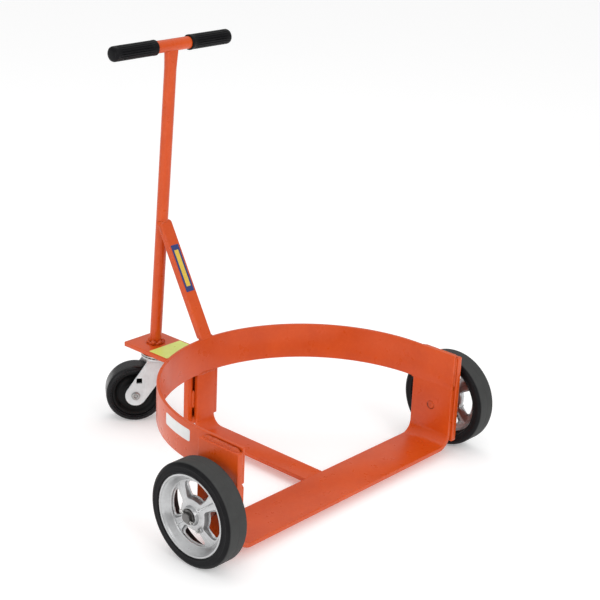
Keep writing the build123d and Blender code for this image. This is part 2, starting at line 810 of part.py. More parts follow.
# ---- welds ----------------------------------------------------------------------------------------
with BuildPart() as foot_weld:
    with BuildSketch(from_side(0)):
        with BuildLine():
            Polyline(
                (tube_foot, plate_top),
                (tube_foot + tube_radius + foot_weld_leg, plate_top),
                (tube_foot + tube_radius + foot_weld_leg / 2, plate_top + foot_weld_leg / 2),
                (tube_foot + tube_radius, plate_top + foot_weld_leg),
                (tube_foot, plate_top + foot_weld_leg),
                close=True,
            )
        make_face()
    revolve(axis=Axis((0, ring_y + tube_foot, 0), (0, 0, 1)))
    with BuildSketch(tube_plane.offset(-tube_radius)):
        Circle(tube_radius)
    extrude(amount=3 * tube_radius, mode=Mode.SUBTRACT)
save(foot_weld, "handle_foot_weld")

with BuildPart() as plate_welds:
    for side in (-1, 1):
        with BuildSketch(from_front(axle_plate_front + weld_leg)):
            with BuildLine():
                Polyline(
                    (side * band_outer, axle_plate_top - weld_leg),
                    (side * band_outer, axle_plate_top + 0.9 * weld_leg),
                    (side * (upright_outer + 0.4 * plate_weld_reach), axle_plate_top + 0.7 * weld_leg),
                    (side * (upright_outer + plate_weld_reach), axle_plate_top),
                    (side * upright_outer, axle_plate_top),
                    (side * upright_outer, axle_plate_top - weld_leg),
                    close=True,
                )
            make_face()
        extrude(amount=-(axle_plate_width - 2 * weld_leg))
        with BuildSketch(level(band_bottom)):
            with BuildLine():
                Polyline(
                    (side * band_outer, -strap_width),
                    (side * upright_outer, -strap_width - 0.5 * weld_leg),
                    (side * upright_outer, -strap_width + weld_leg),
                    (side * band_outer, -strap_width + weld_leg),
                    close=True,
                )
            make_face()
        extrude(amount=axle_plate_top - band_bottom)
save(plate_welds, "axle_plate_welds")

with BuildPart() as channel_welds:
    for side in (-1, 1):
        with BuildSketch(level(channel_stitch[0])):
            with BuildLine():
                leg_inside = channel_width / 2 - channel_wall
                Polyline(
                    (side * strap_half, channel_front),
                    (side * strap_half, channel_front - 0.6 * weld_leg),
                    (side * (leg_inside + 0.8 * weld_leg), channel_front),
                    close=True,
                )
            make_face()
        extrude(amount=channel_stitch[1] - channel_stitch[0])
save(channel_welds, "channel_stitch_welds")

with BuildPart() as brace_welds:
    for side in (-1, 1):
        with BuildSketch(level(band_top)):
            with Locations((side * (brace_width + weld_leg / 2) / 2, brace_foot + band_thickness / 3)):
                Rectangle(weld_leg / 2, band_thickness)
        extrude(amount=weld_leg / 2)
save(brace_welds, "brace_foot_welds")

# ---- labels ---------------------------------------------------------------------------------------
with BuildPart() as band_decal:
    with BuildSketch(level(band_decal_bottom)):
        with BuildLine():
            start = 180 - band_decal_angles[1]
            sweep_angle = band_decal_angles[1] - band_decal_angles[0]
            near = CenterArc((0, 0), band_outer, start, sweep_angle)
            far = CenterArc((0, 0), band_outer + decal_thickness, start, sweep_angle)
            Line(near @ 0, far @ 0)
            Line(near @ 1, far @ 1)
        make_face()
    extrude(amount=band_decal_height)
    fillet(band_decal.edges().sort_by(Edge.length)[:4], 4)
save(band_decal, "band_decal")

with BuildPart() as plate_decal:
    with BuildSketch(level(plate_top)) as decal_outline:
        with Locations((0, (plate_decal_span[0] + plate_decal_span[1]) / 2)):
            Rectangle(plate_decal_width, plate_decal_span[1] - plate_decal_span[0])
        fillet(decal_outline.vertices(), 2)
    extrude(amount=decal_thickness)
save(plate_decal, "plate_decal")

with BuildPart() as brace_decal:
    decal_plane = Plane(origin=brace_plane.origin + brace_dir * brace_decal_middle, x_dir=(1, 0, 0),
                        z_dir=brace_dir.cross(Vector(1, 0, 0)) * -1)
    with BuildSketch(decal_plane) as decal_outline:
        Rectangle(brace_decal_width, brace_decal_length)
        fillet(decal_outline.vertices(), 1.5)
    extrude(amount=decal_thickness)
save(brace_decal, "brace_decal")
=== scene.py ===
import math

import bmesh
import bpy
import numpy as np
from mathutils import Matrix, Vector, noise


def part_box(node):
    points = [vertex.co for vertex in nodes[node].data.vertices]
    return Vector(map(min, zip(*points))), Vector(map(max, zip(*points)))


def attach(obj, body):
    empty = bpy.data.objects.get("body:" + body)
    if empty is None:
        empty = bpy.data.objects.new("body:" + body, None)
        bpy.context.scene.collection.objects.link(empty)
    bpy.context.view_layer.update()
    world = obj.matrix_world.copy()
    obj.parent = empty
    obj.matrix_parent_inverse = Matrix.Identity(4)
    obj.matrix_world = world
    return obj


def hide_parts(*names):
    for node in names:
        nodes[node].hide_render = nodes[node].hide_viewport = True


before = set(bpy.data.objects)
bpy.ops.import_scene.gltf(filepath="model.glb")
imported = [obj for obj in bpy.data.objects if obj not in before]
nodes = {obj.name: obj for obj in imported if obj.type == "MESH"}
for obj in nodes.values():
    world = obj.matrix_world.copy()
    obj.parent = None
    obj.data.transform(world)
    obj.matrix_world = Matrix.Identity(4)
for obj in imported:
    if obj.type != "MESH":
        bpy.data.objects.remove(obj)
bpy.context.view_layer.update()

MM = 0.001


def box(node):
    """A CAD node's lowest and highest corner, in millimetres."""
    low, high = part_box(node)
    return low / MM, high / MM


# ---- where things are, read from the frame --------------------------------------------------------
ring_low, ring_high = box("ring_band")
strap_low, strap_high = box("front_strap")
rear_low, rear_high = box("centre_strap")
plate_low, plate_high = box("caster_mount_plate")
channel_low, channel_high = box("rear_channel")
brace_low, brace_high = box("handle_brace")
bar_low, bar_high = box("handle_crossbar")
fork_top = box("caster_fork")[1].z
tyre_low, tyre_high = box("wheel_tyre_right")
pin_low, pin_high = box("caster_kingpin")
core_low, core_high = box("caster_wheel_core")

ring_inner = box("axle_right")[0].x
ring_outer = ring_high.x
ring_y = ring_high.y - ring_outer
strap_outer = strap_high.x
strap_thick = strap_outer - ring_inner
strap_bottom = strap_low.z
strap_top = strap_bottom + strap_thick
plate_top = plate_high.z
bar_y = (bar_low.y + bar_high.y) / 2
bar_z = (bar_low.z + bar_high.z) / 2
bar_radius = (bar_high.z - bar_low.z) / 2
wheel_radius = tyre_high.z / 2
wheel_x = (tyre_low.x + tyre_high.x) / 2
wheel_half = (tyre_high.x - tyre_low.x) / 2
axle_y = (tyre_low.y + tyre_high.y) / 2
swivel = Vector(((pin_low.x + pin_high.x) / 2, (pin_low.y + pin_high.y) / 2, 0))
caster_mid = (core_low + core_high) / 2
caster_radius = box("caster_wheel_tyre")[1].z / 2
trail = Vector((caster_mid.x - swivel.x, caster_mid.y - swivel.y, 0))
trail_length = trail.length
trail.normalize()
axle_dir = Vector((-trail.y, trail.x, 0))
X = Vector((1, 0, 0))
Y = Vector((0, 1, 0))
UP = Vector((0, 0, 1))


# ---- mesh tools -----------------------------------------------------------------------------------
def arc(centre, radius, start, end, steps):
    """Points of an arc in a plane; angles in degrees."""
    turns = np.radians(np.linspace(start, end, steps + 1))
    return [(centre[0] + radius * math.cos(a), centre[1] + radius * math.sin(a)) for a in turns]


def rounded(points, radii, steps=5, closed=True):
    """A polyline with its corners rounded, by one radius or by one each."""
    count = len(points)
    radii = [radii] * count if isinstance(radii, (int, float)) else radii
    out = []
    for i, corner in enumerate(points):
        if radii[i] <= 0 or (not closed and i in (0, count - 1)):
            out.append(tuple(corner))
            continue
        here = Vector(corner)
        before = Vector(points[i - 1]) - here
        after = Vector(points[(i + 1) % count]) - here
        half = before.angle(after) / 2
        reach = min(radii[i] / math.tan(half), 0.49 * before.length, 0.49 * after.length)
        start = here + before.normalized() * reach
        end = here + after.normalized() * reach
        radius = reach * math.tan(half)
        middle = (before.normalized() + after.normalized()).normalized()
        centre = here + middle * radius / math.sin(half)
        for k in range(steps + 1):
            leg = (start - centre).lerp(end - centre, k / steps)
            out.append(tuple(centre + leg.normalized() * radius))
    return out


def mirrored(half, radii, steps=4):
    """A closed profile that is the same on both sides of its middle, from its half on one side."""
    return rounded(half + [(-x, r) for x, r in half[::-1]], radii + radii[::-1], steps)


def bar_section(thick, wide, edge, steps=3):
    """A bar's rounded cross-section, as a function of how far it is inset."""
    def section(inset):
        a = thick / 2 - inset
        b = wide / 2 - inset
        return rounded([(-a, -b), (a, -b), (a, b), (-a, b)], max(edge - inset, 0.05), steps)
    return section


def tube_section(radius, steps=32):
    """A round bar's cross-section, as a function of how far it is inset."""
    def section(inset):
        return arc((0, 0), radius - inset, 0, 360, steps)[:-1]
    return section


def as_piece(name, bm, body, material, replaced=(), sharp=32.0):
    """Turns a bmesh in millimetres into a piece that rides on a body."""
    bmesh.ops.remove_doubles(bm, verts=bm.verts, dist=1e-4)
    bmesh.ops.recalc_face_normals(bm, faces=bm.faces)
    mesh = bpy.data.meshes.new(name)
    bm.to_mesh(mesh)
    bm.free()
    mesh.transform(Matrix.Scale(MM, 4))
    mesh.shade_smooth()
    mesh.set_sharp_from_angle(angle=math.radians(sharp))
    made = bpy.data.objects.new(name, mesh)
    bpy.context.scene.collection.objects.link(made)
    made.data.materials.append(material)
    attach(made, body)
    if replaced:
        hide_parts(*replaced)
    return made


def skin(bm, rings, wrap=True, caps=True):
    """Faces between rings of points; a ring closes on itself if wrap is set."""
    rows = [[bm.verts.new(p) for p in ring] for ring in rings]
    count = len(rows[0])
    for low, high in zip(rows, rows[1:]):
        for k in range(count if wrap else count - 1):
            n = (k + 1) % count
            bm.faces.new((low[k], low[n], high[n], high[k]))
    if caps:
        bm.faces.new(rows[0])
        bm.faces.new(rows[-1])
    return rows


def sweep(bm, path, across, section, edge=0.8):
    """A bar along a planar path whose plane has the normal across, with softly rounded ends."""
    path = [Vector(p) for p in path]
    last = len(path) - 1
    rings = []
    for i, p in enumerate(path):
        t = (path[min(i + 1, last)] - path[max(i - 1, 0)]).normalized()
        n = t.cross(across).normalized()
        if 0 < i < last:
            rings.append([p + n * a + across * b for a, b in section(0)])
            continue
        inward = t if i == 0 else -t
        turns = [math.pi / 2 * k / 3 for k in range(4)]
        for turn in turns if i == 0 else turns[::-1]:
            inset = edge * (1 - math.sin(turn))
            foot = p + inward * edge * (1 - math.cos(turn))
            rings.append([foot + n * a + across * b for a, b in section(inset)])
    skin(bm, rings)


def lathe(bm, profile, origin, axis, steps=96):
    """Turns a closed profile of (along the axis, radius) points round an axis."""
    axis = axis.normalized()
    side = axis.orthogonal().normalized()
    other = axis.cross(side)
    rings = []
    for k in range(steps):
        a = 2 * math.pi * k / steps
        out = side * math.cos(a) + other * math.sin(a)
        rings.append([origin + axis * x + out * max(r, 0) for x, r in profile])
    rings.append(rings[0])
    skin(bm, rings, caps=False)


def slab(bm, outline, origin, u, v, thick, edge=0.8, steps=2, angle=30.0):
    """A plate cut to an outline in the plane of u and v, thickened along their normal, edges rounded."""
    normal = u.cross(v).normalized()
    made = bmesh.new()
    low = [made.verts.new(origin + u * a + v * b) for a, b in outline]
    high = [made.verts.new(p.co + normal * thick) for p in low]
    made.faces.new(low)
    made.faces.new(high)
    for k in range(len(low)):
        n = (k + 1) % len(low)
        made.faces.new((low[k], low[n], high[n], high[k]))
    bmesh.ops.recalc_face_normals(made, faces=made.faces)
    soften(made, edge, steps, angle)
    merge(bm, made)


def soften(bm, edge, steps=2, angle=30.0):
    """Rounds every edge whose faces turn by more than an angle."""
    turned = [e for e in bm.edges if len(e.link_faces) == 2 and e.calc_face_angle(0) > math.radians(angle)]
    bmesh.ops.bevel(bm, geom=turned, offset=edge, segments=steps, profile=0.5, affect="EDGES",
                    clamp_overlap=True)


def merge(bm, other):
    """Adds one bmesh to another."""
    table = {v: bm.verts.new(v.co) for v in other.verts}
    for face in other.faces:
        bm.faces.new([table[v] for v in face.verts])
    other.free()


def trim(bm, at, normal):
    """Cuts away whatever lies beyond a plane and closes the cut."""
    cut = bmesh.ops.bisect_plane(bm, geom=bm.verts[:] + bm.edges[:] + bm.faces[:], plane_co=at,
                                 plane_no=normal, clear_outer=True)
    rim = [e for e in cut["geom_cut"] if isinstance(e, bmesh.types.BMEdge)]
    bmesh.ops.contextual_create(bm, geom=rim)


def trim_corner(bm, corner, outward, size):
    """Clips a square corner that faces outward, size along each of its edges."""
    outward = outward.normalized()
    trim(bm, corner - outward * size * math.sqrt(0.5), outward)


def straight(start, end, count):
    """Evenly spaced points from start to end."""
    start, end = Vector(start), Vector(end)
    return [start.lerp(end, k / (count - 1)) for k in range(count)]


def bead(bm, path, lean, wide, high, pitch=2.4, seed=0.0, closed=False, lumps=0.10):
    """A weld bead: overlapping ripples along a path, its crown towards lean."""
    path = [Vector(p) for p in path]
    runs = [0.0]
    for a, b in zip(path, path[1:]):
        runs.append(runs[-1] + (b - a).length)
    length = runs[-1]
    count = max(int(length / 0.6), 8)
    rings = []
    for k in range(count + (0 if closed else 1)):
        s = length * k / count
        i = min(max(int(np.searchsorted(runs, s)) - 1, 0), len(path) - 2)
        t = (path[i + 1] - path[i]).normalized()
        p = path[i] + t * (s - runs[i])
        crown = lean(p) if callable(lean) else lean
        crown = (crown - t * crown.dot(t)).normalized()
        side = t.cross(crown)
        wave = (s / pitch) % 1.0
        swell = 0.86 + 0.17 * math.sin(math.pi * wave) ** 0.6
        swell *= 1 + lumps * noise.noise(Vector((s * 0.11, seed, 0)))
        if not closed:
            tail = min(s, length - s) / wide
            swell *= math.sqrt(min(1.0, 0.05 + 1.4 * tail))
        shift = side * 0.10 * wide * noise.noise(Vector((s * 0.09, seed + 7, 3)))
        ring = []
        for m in range(14):
            a = 2 * math.pi * m / 14
            ring.append(p + shift + side * math.cos(a) * wide / 2 * swell
                        + crown * math.sin(a) * high * swell)
        rings.append(ring)
    if closed:
        rings.append(rings[0])
    skin(bm, rings, caps=not closed)


# ---- materials ------------------------------------------------------------------------------------
class Shader:
    """A material made of linked nodes, read in the object's own millimetre frame."""

    def __init__(self, name):
        self.material = bpy.data.materials.new(name)
        self.material.use_nodes = True
        self.tree = self.material.node_tree
        self.surface = self.tree.nodes["Principled BSDF"]
        self.place = self.node("ShaderNodeTexCoord").outputs["Object"]

    def node(self, kind, inputs=None, **settings):
        made = self.tree.nodes.new(kind)
        for key, value in settings.items():
            setattr(made, key, value)
        for key, value in (inputs or {}).items():
            self.put(made.inputs[key], value)
        return made

    def put(self, socket, value):
        if isinstance(value, bpy.types.NodeSocket):
            self.tree.links.new(value, socket)
        elif isinstance(value, (tuple, list)) and socket.type == "RGBA" and len(value) == 3:
            socket.default_value = (*value, 1.0)
        else:
            socket.default_value = value

    def set(self, **inputs):
        for key, value in inputs.items():
            self.put(self.surface.inputs[key.replace("_", " ")], value)

    def noise(self, size, detail=3.0, rough=0.55, place=None, stretch=None):
        """Noise between 0 and 1 with features about size millimetres across."""
        where = self.place if place is None else place
        if stretch:
            where = self.node("ShaderNodeMapping", {"Vector": where, "Scale": stretch}).outputs[0]
        made = self.node("ShaderNodeTexNoise", {"Vector": where, "Scale": 1000.0 / size,
                                                "Detail": detail, "Roughness": rough})
        return made.outputs["Fac"]

    def math(self, operation, a, b=0.0, clamp=False):
        made = self.node("ShaderNodeMath", {0: a, 1: b}, operation=operation, use_clamp=clamp)
        return made.outputs[0]

    def span(self, value, low, high, to_low=0.0, to_high=1.0):
        """Maps low..high to to_low..to_high, clamped."""
        made = self.node("ShaderNodeMapRange", {"Value": value, "From Min": low, "From Max": high,
                                                "To Min": to_low, "To Max": to_high})
        return made.outputs[0]

    def mix(self, factor, a, b, blend="MIX"):
        made = self.node("ShaderNodeMix", data_type="RGBA", blend_type=blend)
        self.put(made.inputs[0], factor)
        self.put(made.inputs[6], a)
        self.put(made.inputs[7], b)
        return made.outputs[2]

    def edges(self, radius, low=0.04, high=0.22):
        """1 on outer and inner edges, 0 on flat faces."""
        soft = self.node("ShaderNodeBevel", {"Radius": radius * MM}, samples=4).outputs[0]
        true = self.node("ShaderNodeNewGeometry").outputs["True Normal"]
        facing = self.node("ShaderNodeVectorMath", {0: soft, 1: true}, operation="DOT_PRODUCT")
        return self.span(self.math("SUBTRACT", 1.0, facing.outputs["Value"]), low, high)

    def corners(self, reach):
        """1 deep in corners, 0 in the open."""
        made = self.node("ShaderNodeAmbientOcclusion", {"Distance": reach * MM}, samples=4)
        return self.span(made.outputs["AO"], 0.85, 0.25)

    def bump(self, height, depth, strength=1.0, under=None):
        """Bumps height millimetres deep; under is the bump below this one."""
        inputs = {"Height": height, "Distance": depth * MM, "Strength": strength}
        if under is not None:
            inputs["Normal"] = under
        return self.node("ShaderNodeBump", inputs).outputs[0]


def shade(colour, factor):
    """A colour made darker or paler."""
    return tuple(min(1.0, c * factor) for c in colour)


def paint(name, colour, dark, pale, gloss=0.30, texture=1.0):
    """Powder coat over steel: orange peel, faint mottling, lighter edges (thin paint and a painted
    highlight), painted shade in the corners.
    """
    s = Shader(name)
    cloud = s.noise(90, 4)
    fine = s.noise(7, 3)
    tone = s.mix(s.span(cloud, 0.35, 0.68), dark, colour)
    tone = s.mix(s.span(fine, 0.45, 0.8, 0.0, 0.22), tone, pale)
    # Lighter edges: partly thin paint, partly a painted highlight along every edge.
    rim = s.math("MULTIPLY", s.edges(1.1), s.span(s.noise(5, 5, 0.7), 0.36, 0.62))
    tone = s.mix(s.math("MULTIPLY", rim, 0.42), tone, pale)
    # Painted shade: darker in the corners, by ambient occlusion broken up by noise.
    corner_shade = s.math("MULTIPLY", s.corners(14), s.span(s.noise(22, 4), 0.25, 0.75, 0.10, 0.50))
    tone = s.mix(corner_shade, tone, shade(dark, 0.50))
    rough = s.span(s.noise(26, 5, 0.6), 0.3, 0.75, gloss - 0.05, gloss + 0.09)
    wave = s.bump(s.noise(38, 2), 0.4, 0.20)
    peel = s.bump(s.noise(1.7, 2, 0.5), 0.05 * texture, 0.55, wave)
    s.set(Base_Color=tone, Roughness=rough, Normal=peel)
    s.set(IOR=1.5, Specular_IOR_Level=0.30, Coat_Weight=0.14, Coat_Roughness=0.24)
    return s.material


def steel(name, colour, rough=0.34, grain=None, metallic=1.0, corner_shade_depth=0.0):
    """Bare or zinc plated steel: drawn grain, cloudy plating, edges painted brighter as a highlight, corners
    painted darker as shade.
    """
    s = Shader(name)
    cloud = s.noise(14, 5, 0.62)
    tone = s.mix(s.span(cloud, 0.3, 0.75), shade(colour, 0.80), colour)
    streak = s.noise(2.2, 4, 0.6, stretch=grain or (1.0, 1.0, 0.08))
    tone = s.mix(s.span(streak, 0.4, 0.75, 0.0, 0.25), tone, shade(colour, 1.15))
    # Painted highlight: edges made brighter.
    tone = s.mix(s.math("MULTIPLY", s.edges(0.8), 0.5), tone, shade(colour, 1.25))
    # Painted shade: darker in the corners by ambient occlusion, deeper by the extra amount passed in.
    painted_corner_shade = s.math("MULTIPLY", s.corners(7), 0.35 + corner_shade_depth)
    tone = s.mix(painted_corner_shade, tone, (0.035, 0.03, 0.026))
    shine = s.span(cloud, 0.3, 0.8, rough - 0.07, rough + 0.10)
    shine = s.math("ADD", shine, s.span(streak, 0.45, 0.8, 0.0, 0.07))
    s.set(Base_Color=tone, Roughness=shine, Normal=s.bump(streak, 0.03, 0.5))
    s.set(Metallic=metallic)
    return s.material


def rubber(name, colour, rough=0.48, mould=0.5, dust=0.25, level=0.5, worn=None):
    """Moulded rubber: faint flow marks, tiny pits, pale dust; worn is a wheel's centre and tread radius."""
    s = Shader(name)
    cloud = s.noise(24, 5, 0.6)
    tone = s.mix(s.span(cloud, 0.3, 0.75), shade(colour, 0.72), shade(colour, 1.25))
    bloom = s.span(s.noise(5, 6, 0.7), 0.52, 0.78, 0.0, dust)
    tone = s.mix(bloom, tone, (0.09, 0.087, 0.085))
    tone = s.mix(s.math("MULTIPLY", s.edges(1.0), dust), tone, (0.11, 0.11, 0.11))
    shine = s.span(cloud, 0.3, 0.8, rough - 0.06, rough + 0.12)
    if worn:
        middle, radius = worn
        arm = s.node("ShaderNodeVectorMath", {0: s.place, 1: tuple(middle * MM)}, operation="SUBTRACT")
        arm = s.node("ShaderNodeVectorMath", {0: arm.outputs[0], 1: (0.0, 1.0, 1.0)}, operation="MULTIPLY")
        away = s.node("ShaderNodeVectorMath", {0: arm.outputs[0]}, operation="LENGTH").outputs["Value"]
        used = s.span(away, (radius - 1.5) * MM, (radius - 0.4) * MM)
        greyed = s.mix(s.span(cloud, 0.3, 0.75), (0.050, 0.051, 0.050), (0.062, 0.063, 0.062))
        tone = s.mix(used, tone, greyed)
        shine = s.math("ADD", shine, s.math("MULTIPLY", used, 0.20))
    flow = s.bump(s.noise(9, 3), 0.12, 0.35 * mould)
    pits = s.bump(s.noise(0.9, 3, 0.6), 0.04, 0.55, flow)
    s.set(Base_Color=tone, Roughness=shine, Normal=pits)
    s.set(IOR=1.5, Specular_IOR_Level=level)
    return s.material


def casting(name, colour):
    """Die cast aluminium: satin skin, fine grain, flow marks, edges painted brighter as a highlight, corners
    painted darker as shade.
    """
    s = Shader(name)
    cloud = s.noise(20, 5, 0.6)
    tone = s.mix(s.span(cloud, 0.3, 0.72), shade(colour, 0.82), colour)
    flow = s.noise(6, 5, 0.68, stretch=(1.0, 0.35, 1.0))
    tone = s.mix(s.span(flow, 0.45, 0.75, 0.0, 0.32), tone, shade(colour, 0.62))
    # Painted shade: much darker in the corners, by ambient occlusion.
    tone = s.mix(s.math("MULTIPLY", s.corners(11), 0.85), tone, shade(colour, 0.12))
    # Painted highlight: edges made almost white.
    tone = s.mix(s.math("MULTIPLY", s.edges(0.8, 0.03, 0.14), 0.85), tone, (0.95, 0.95, 0.95))
    shine = s.span(cloud, 0.3, 0.8, 0.26, 0.40)
    grain = s.bump(s.noise(0.8, 3, 0.6), 0.02, 0.4, s.bump(flow, 0.08, 0.3))
    s.set(Base_Color=tone, Roughness=shine, Normal=grain)
    s.set(Metallic=0.9)
    return s.material


def label(name, colour, gloss=0.32):
    """Printed film: slight creases, faint mottling and dark specks."""
    s = Shader(name)
    cloud = s.noise(16, 4)
    tone = s.mix(s.span(cloud, 0.35, 0.75, 0.0, 0.35), colour, shade(colour, 0.80))
    tone = s.mix(s.span(s.noise(3, 6, 0.7), 0.62, 0.78, 0.0, 0.30), tone, shade(colour, 0.55))
    s.set(Base_Color=tone, Roughness=s.span(cloud, 0.3, 0.8, gloss - 0.06, gloss + 0.12))
    s.set(Normal=s.bump(s.noise(12, 3), 0.12, 0.4))
    return s


orange = paint("orange_paint", (0.660, 0.080, 0.006), (0.590, 0.066, 0.005), (0.74, 0.14, 0.03))
weld_paint = paint("weld_paint", (0.66, 0.090, 0.010), (0.48, 0.052, 0.006), (0.80, 0.18, 0.05), 0.27, 2.0)
zinc = steel("zinc_plate", (0.74, 0.79, 0.80), 0.38, metallic=0.12)
rivet_steel = steel("rivet_steel", (0.40, 0.40, 0.39), 0.24, corner_shade_depth=0.5)
bolt_zinc = steel("bolt_zinc", (0.62, 0.62, 0.60), 0.28, corner_shade_depth=0.2)
axle_steel = steel("turned_steel", (0.20, 0.195, 0.19), 0.36, corner_shade_depth=0.2)
greased = steel("greased_steel", (0.42, 0.40, 0.37), 0.28, corner_shade_depth=0.4)
cast = casting("cast_aluminium", (0.60, 0.605, 0.61))
wheel_axis = Vector((0, axle_y, wheel_radius))
tyre_rubber = rubber("tyre_rubber", (0.008, 0.008, 0.009), 0.42, 0.5, 0.10, 0.10, (wheel_axis, wheel_radius))
tread_rubber = rubber("caster_tread", (0.007, 0.007, 0.008), 0.26, 0.3, 0.05, 0.22)
core_black = rubber("caster_core", (0.004, 0.004, 0.004), 0.38, 0.4, 0.04, 0.16)
grip_vinyl = rubber("grip_vinyl", (0.004, 0.004, 0.005), 0.42, 0.6, 0.05, 0.14)


def painted(name, bm, *replaced):
    """A painted bar or plate of the frame."""
    as_piece(name, bm, "frame", orange, replaced)


def welded(name, bm, *replaced):
    """A painted weld of the frame."""
    as_piece(name, bm, "frame", weld_paint, replaced, 70)


# ---- ring and straps ------------------------------------------------------------------------------
band_mid = (ring_inner + ring_outer) / 2
band_z = (ring_low.z + ring_high.z) / 2
plan = [(band_mid, ring_low.y), (band_mid, ring_y)]
plan += arc((0, ring_y), band_mid, 0, 180, 144)[1:-1]
plan += [(-band_mid, ring_y), (-band_mid, ring_low.y)]
bm = bmesh.new()
sweep(bm, [Vector((x, y, band_z)) for x, y in plan], UP,
      bar_section(ring_outer - ring_inner, ring_high.z - ring_low.z, 1.0), 0.9)
NOTCH = 5.2
trim_corner(bm, Vector((0, ring_low.y, ring_low.z)), -Y - UP, NOTCH)
painted("ring", bm, "ring_band")

strap_mid = strap_bottom + strap_thick / 2
upright_mid = strap_outer - strap_thick / 2
strap_wide = strap_high.y - strap_low.y
bend = 25.0 + strap_thick / 2
corners = [(-upright_mid, strap_high.z), (-upright_mid, strap_mid), (upright_mid, strap_mid),
           (upright_mid, strap_high.z)]
side_path = rounded(corners, bend, 14, closed=False)
bm = bmesh.new()
sweep(bm, [Vector((x, (strap_low.y + strap_high.y) / 2, z)) for x, z in side_path], Y,
      bar_section(strap_thick, strap_wide, 1.2), 1.0)
trim_corner(bm, Vector((0, strap_low.y, strap_high.z)), UP - Y, NOTCH)
painted("front_strap_bar", bm, "front_strap")

corners = [(rear_low.y + 0.2, strap_mid), (ring_y + upright_mid, strap_mid),
           (ring_y + upright_mid, strap_high.z)]
bm = bmesh.new()
sweep(bm, [Vector((0, y, z)) for y, z in rounded(corners, bend, 14, closed=False)], X,
      bar_section(strap_thick, rear_high.x - rear_low.x, 1.2), 1.0)
painted("centre_strap_bar", bm, "centre_strap")

# The butt joints on the faces that touch the drum are ground flush. A short nick is left at the front on
# the left, and the right one is filled.
PROUD = 0.03
NICK = 6.0
SEAM = 1.8
bm = bmesh.new()
for side in (-1, 1):
    joint = [(strap_low.y + NICK, -SEAM), (ring_y + 4, -SEAM), (ring_y + 4, SEAM), (strap_low.y + NICK, SEAM)]
    slab(bm, joint, Vector((side * (ring_inner - PROUD), 0, ring_low.z)), Y, UP * side,
         (ring_outer - ring_inner) * 0.9, 0.02, 1)
corner = [(strap_low.y + 0.3, -NOTCH - 0.6), (strap_low.y + NOTCH + 0.8, 0),
          (strap_low.y + 0.3, NOTCH + 0.6)]
slab(bm, corner, Vector((ring_inner, 0, ring_low.z)), Y, UP, ring_outer - ring_inner, 0.5, 2)
joint_half = rear_high.x - 1.6
joint = [(-joint_half, -SEAM), (joint_half, -SEAM), (joint_half, SEAM), (-joint_half, SEAM)]
slab(bm, joint, Vector((0, rear_low.y, strap_top + PROUD)), -X, Y, strap_thick * 0.7, 0.02, 1)
painted("ground_joints", bm)

# ---- rear channel, axle plates and the plate over the caster --------------------------------------
CHANNEL_WEB = 6.35
CHANNEL_WALL = 12.0
wide = channel_high.x
inner = wide - CHANNEL_WALL
front = channel_low.y
back = channel_high.y
floor_y = back - CHANNEL_WEB
outline = [(-wide, front), (-inner, front), (-inner, floor_y), (inner, floor_y), (inner, front),
           (wide, front), (wide, back), (-wide, back)]
outline = rounded(outline, [0, 0, 3, 3, 0, 0, 4, 4], 5)
bm = bmesh.new()
slab(bm, outline, Vector((0, 0, channel_low.z)), X, Y, channel_high.z - channel_low.z, 0.8)
painted("rear_channel_bar", bm, "rear_channel")

for side, name in ((-1, "left"), (1, "right")):
    low, high = box(f"axle_plate_{name}")
    outline = [(low.y, low.z), (high.y, low.z), (high.y, high.z), (low.y, high.z)]
    bm = bmesh.new()
    slab(bm, rounded(outline, 2.0, 4), Vector((low.x, 0, 0)), Y, UP, high.x - low.x, 1.3, 3)
    painted(f"axle_plate_{name}_cut", bm, f"axle_plate_{name}")

half = plate_high.x
touch = math.degrees(math.asin(half / ring_outer))
outline = arc((0, ring_y), ring_outer - 0.4, 90 + touch, 90 - touch, 10)
outline += rounded([outline[-1], (half, plate_high.y), (-half, plate_high.y), outline[0]], 3.0, 4,
                   closed=False)[1:-1]
bm = bmesh.new()
slab(bm, outline, Vector((0, 0, plate_low.z)), X, Y, plate_top - plate_low.z, 1.0, 3)
painted("mount_plate_cut", bm, "caster_mount_plate")

low, high = box("caster_top_plate")
disc = [(low.z, 6.5), (low.z, high.x - 0.6), (low.z + 1.2, high.x), (high.z, high.x), (high.z, 6.5)]
bm = bmesh.new()
lathe(bm, rounded(disc, [0, 1.0, 0.8, 0.6, 0], 3), swivel, UP, 96)
as_piece("caster_plate_pressed", bm, "frame", zinc, ["caster_top_plate"], 40)

# ---- handle ---------------------------------------------------------------------------------------
tube_radius = 12.7
PINCHED_WIDE = 16.5
PINCHED_FLAT = 6.6
TUBE_POINTS = 72
foot = Vector((0, box("handle_foot_weld")[0].y + box("handle_foot_weld")[1].y, 0)) / 2
foot.z = plate_top
head = Vector((0, bar_y, bar_z))
run = (head - foot).normalized()
length = (head - foot).length
forward = run.cross(X)
rings = []
PINCH = 46.0
steps = [0, 40, 200] + [length - PINCH + PINCH * k / 14 for k in range(15)]
for s in steps:
    pinch = min(max((s - (length - PINCH)) / PINCH, 0), 1)
    wide = tube_radius + (PINCHED_WIDE - tube_radius) * pinch
    flat = tube_radius + (PINCHED_FLAT - tube_radius) * pinch
    start = foot + run * (s - (1.0 if s == 0 else 0))
    ring = []
    for k in range(TUBE_POINTS):
        turn = 2 * math.pi * k / TUBE_POINTS
        lift = math.sin(turn) * tube_radius
        lift = math.copysign(min(abs(lift), flat + 0.06 * (abs(lift) - flat)), lift)
        ring.append(start + X * math.cos(turn) * wide + forward * lift)
    rings.append(ring)
bm = bmesh.new()
skin(bm, rings)
painted("handle_tube_drawn", bm, "handle_tube")

bm = bmesh.new()
sweep(bm, straight((bar_low.x, bar_y, bar_z), (bar_high.x, bar_y, bar_z), 24), UP,
      tube_section(bar_radius, 40), 0.8)
painted("crossbar_tube", bm, "handle_crossbar")

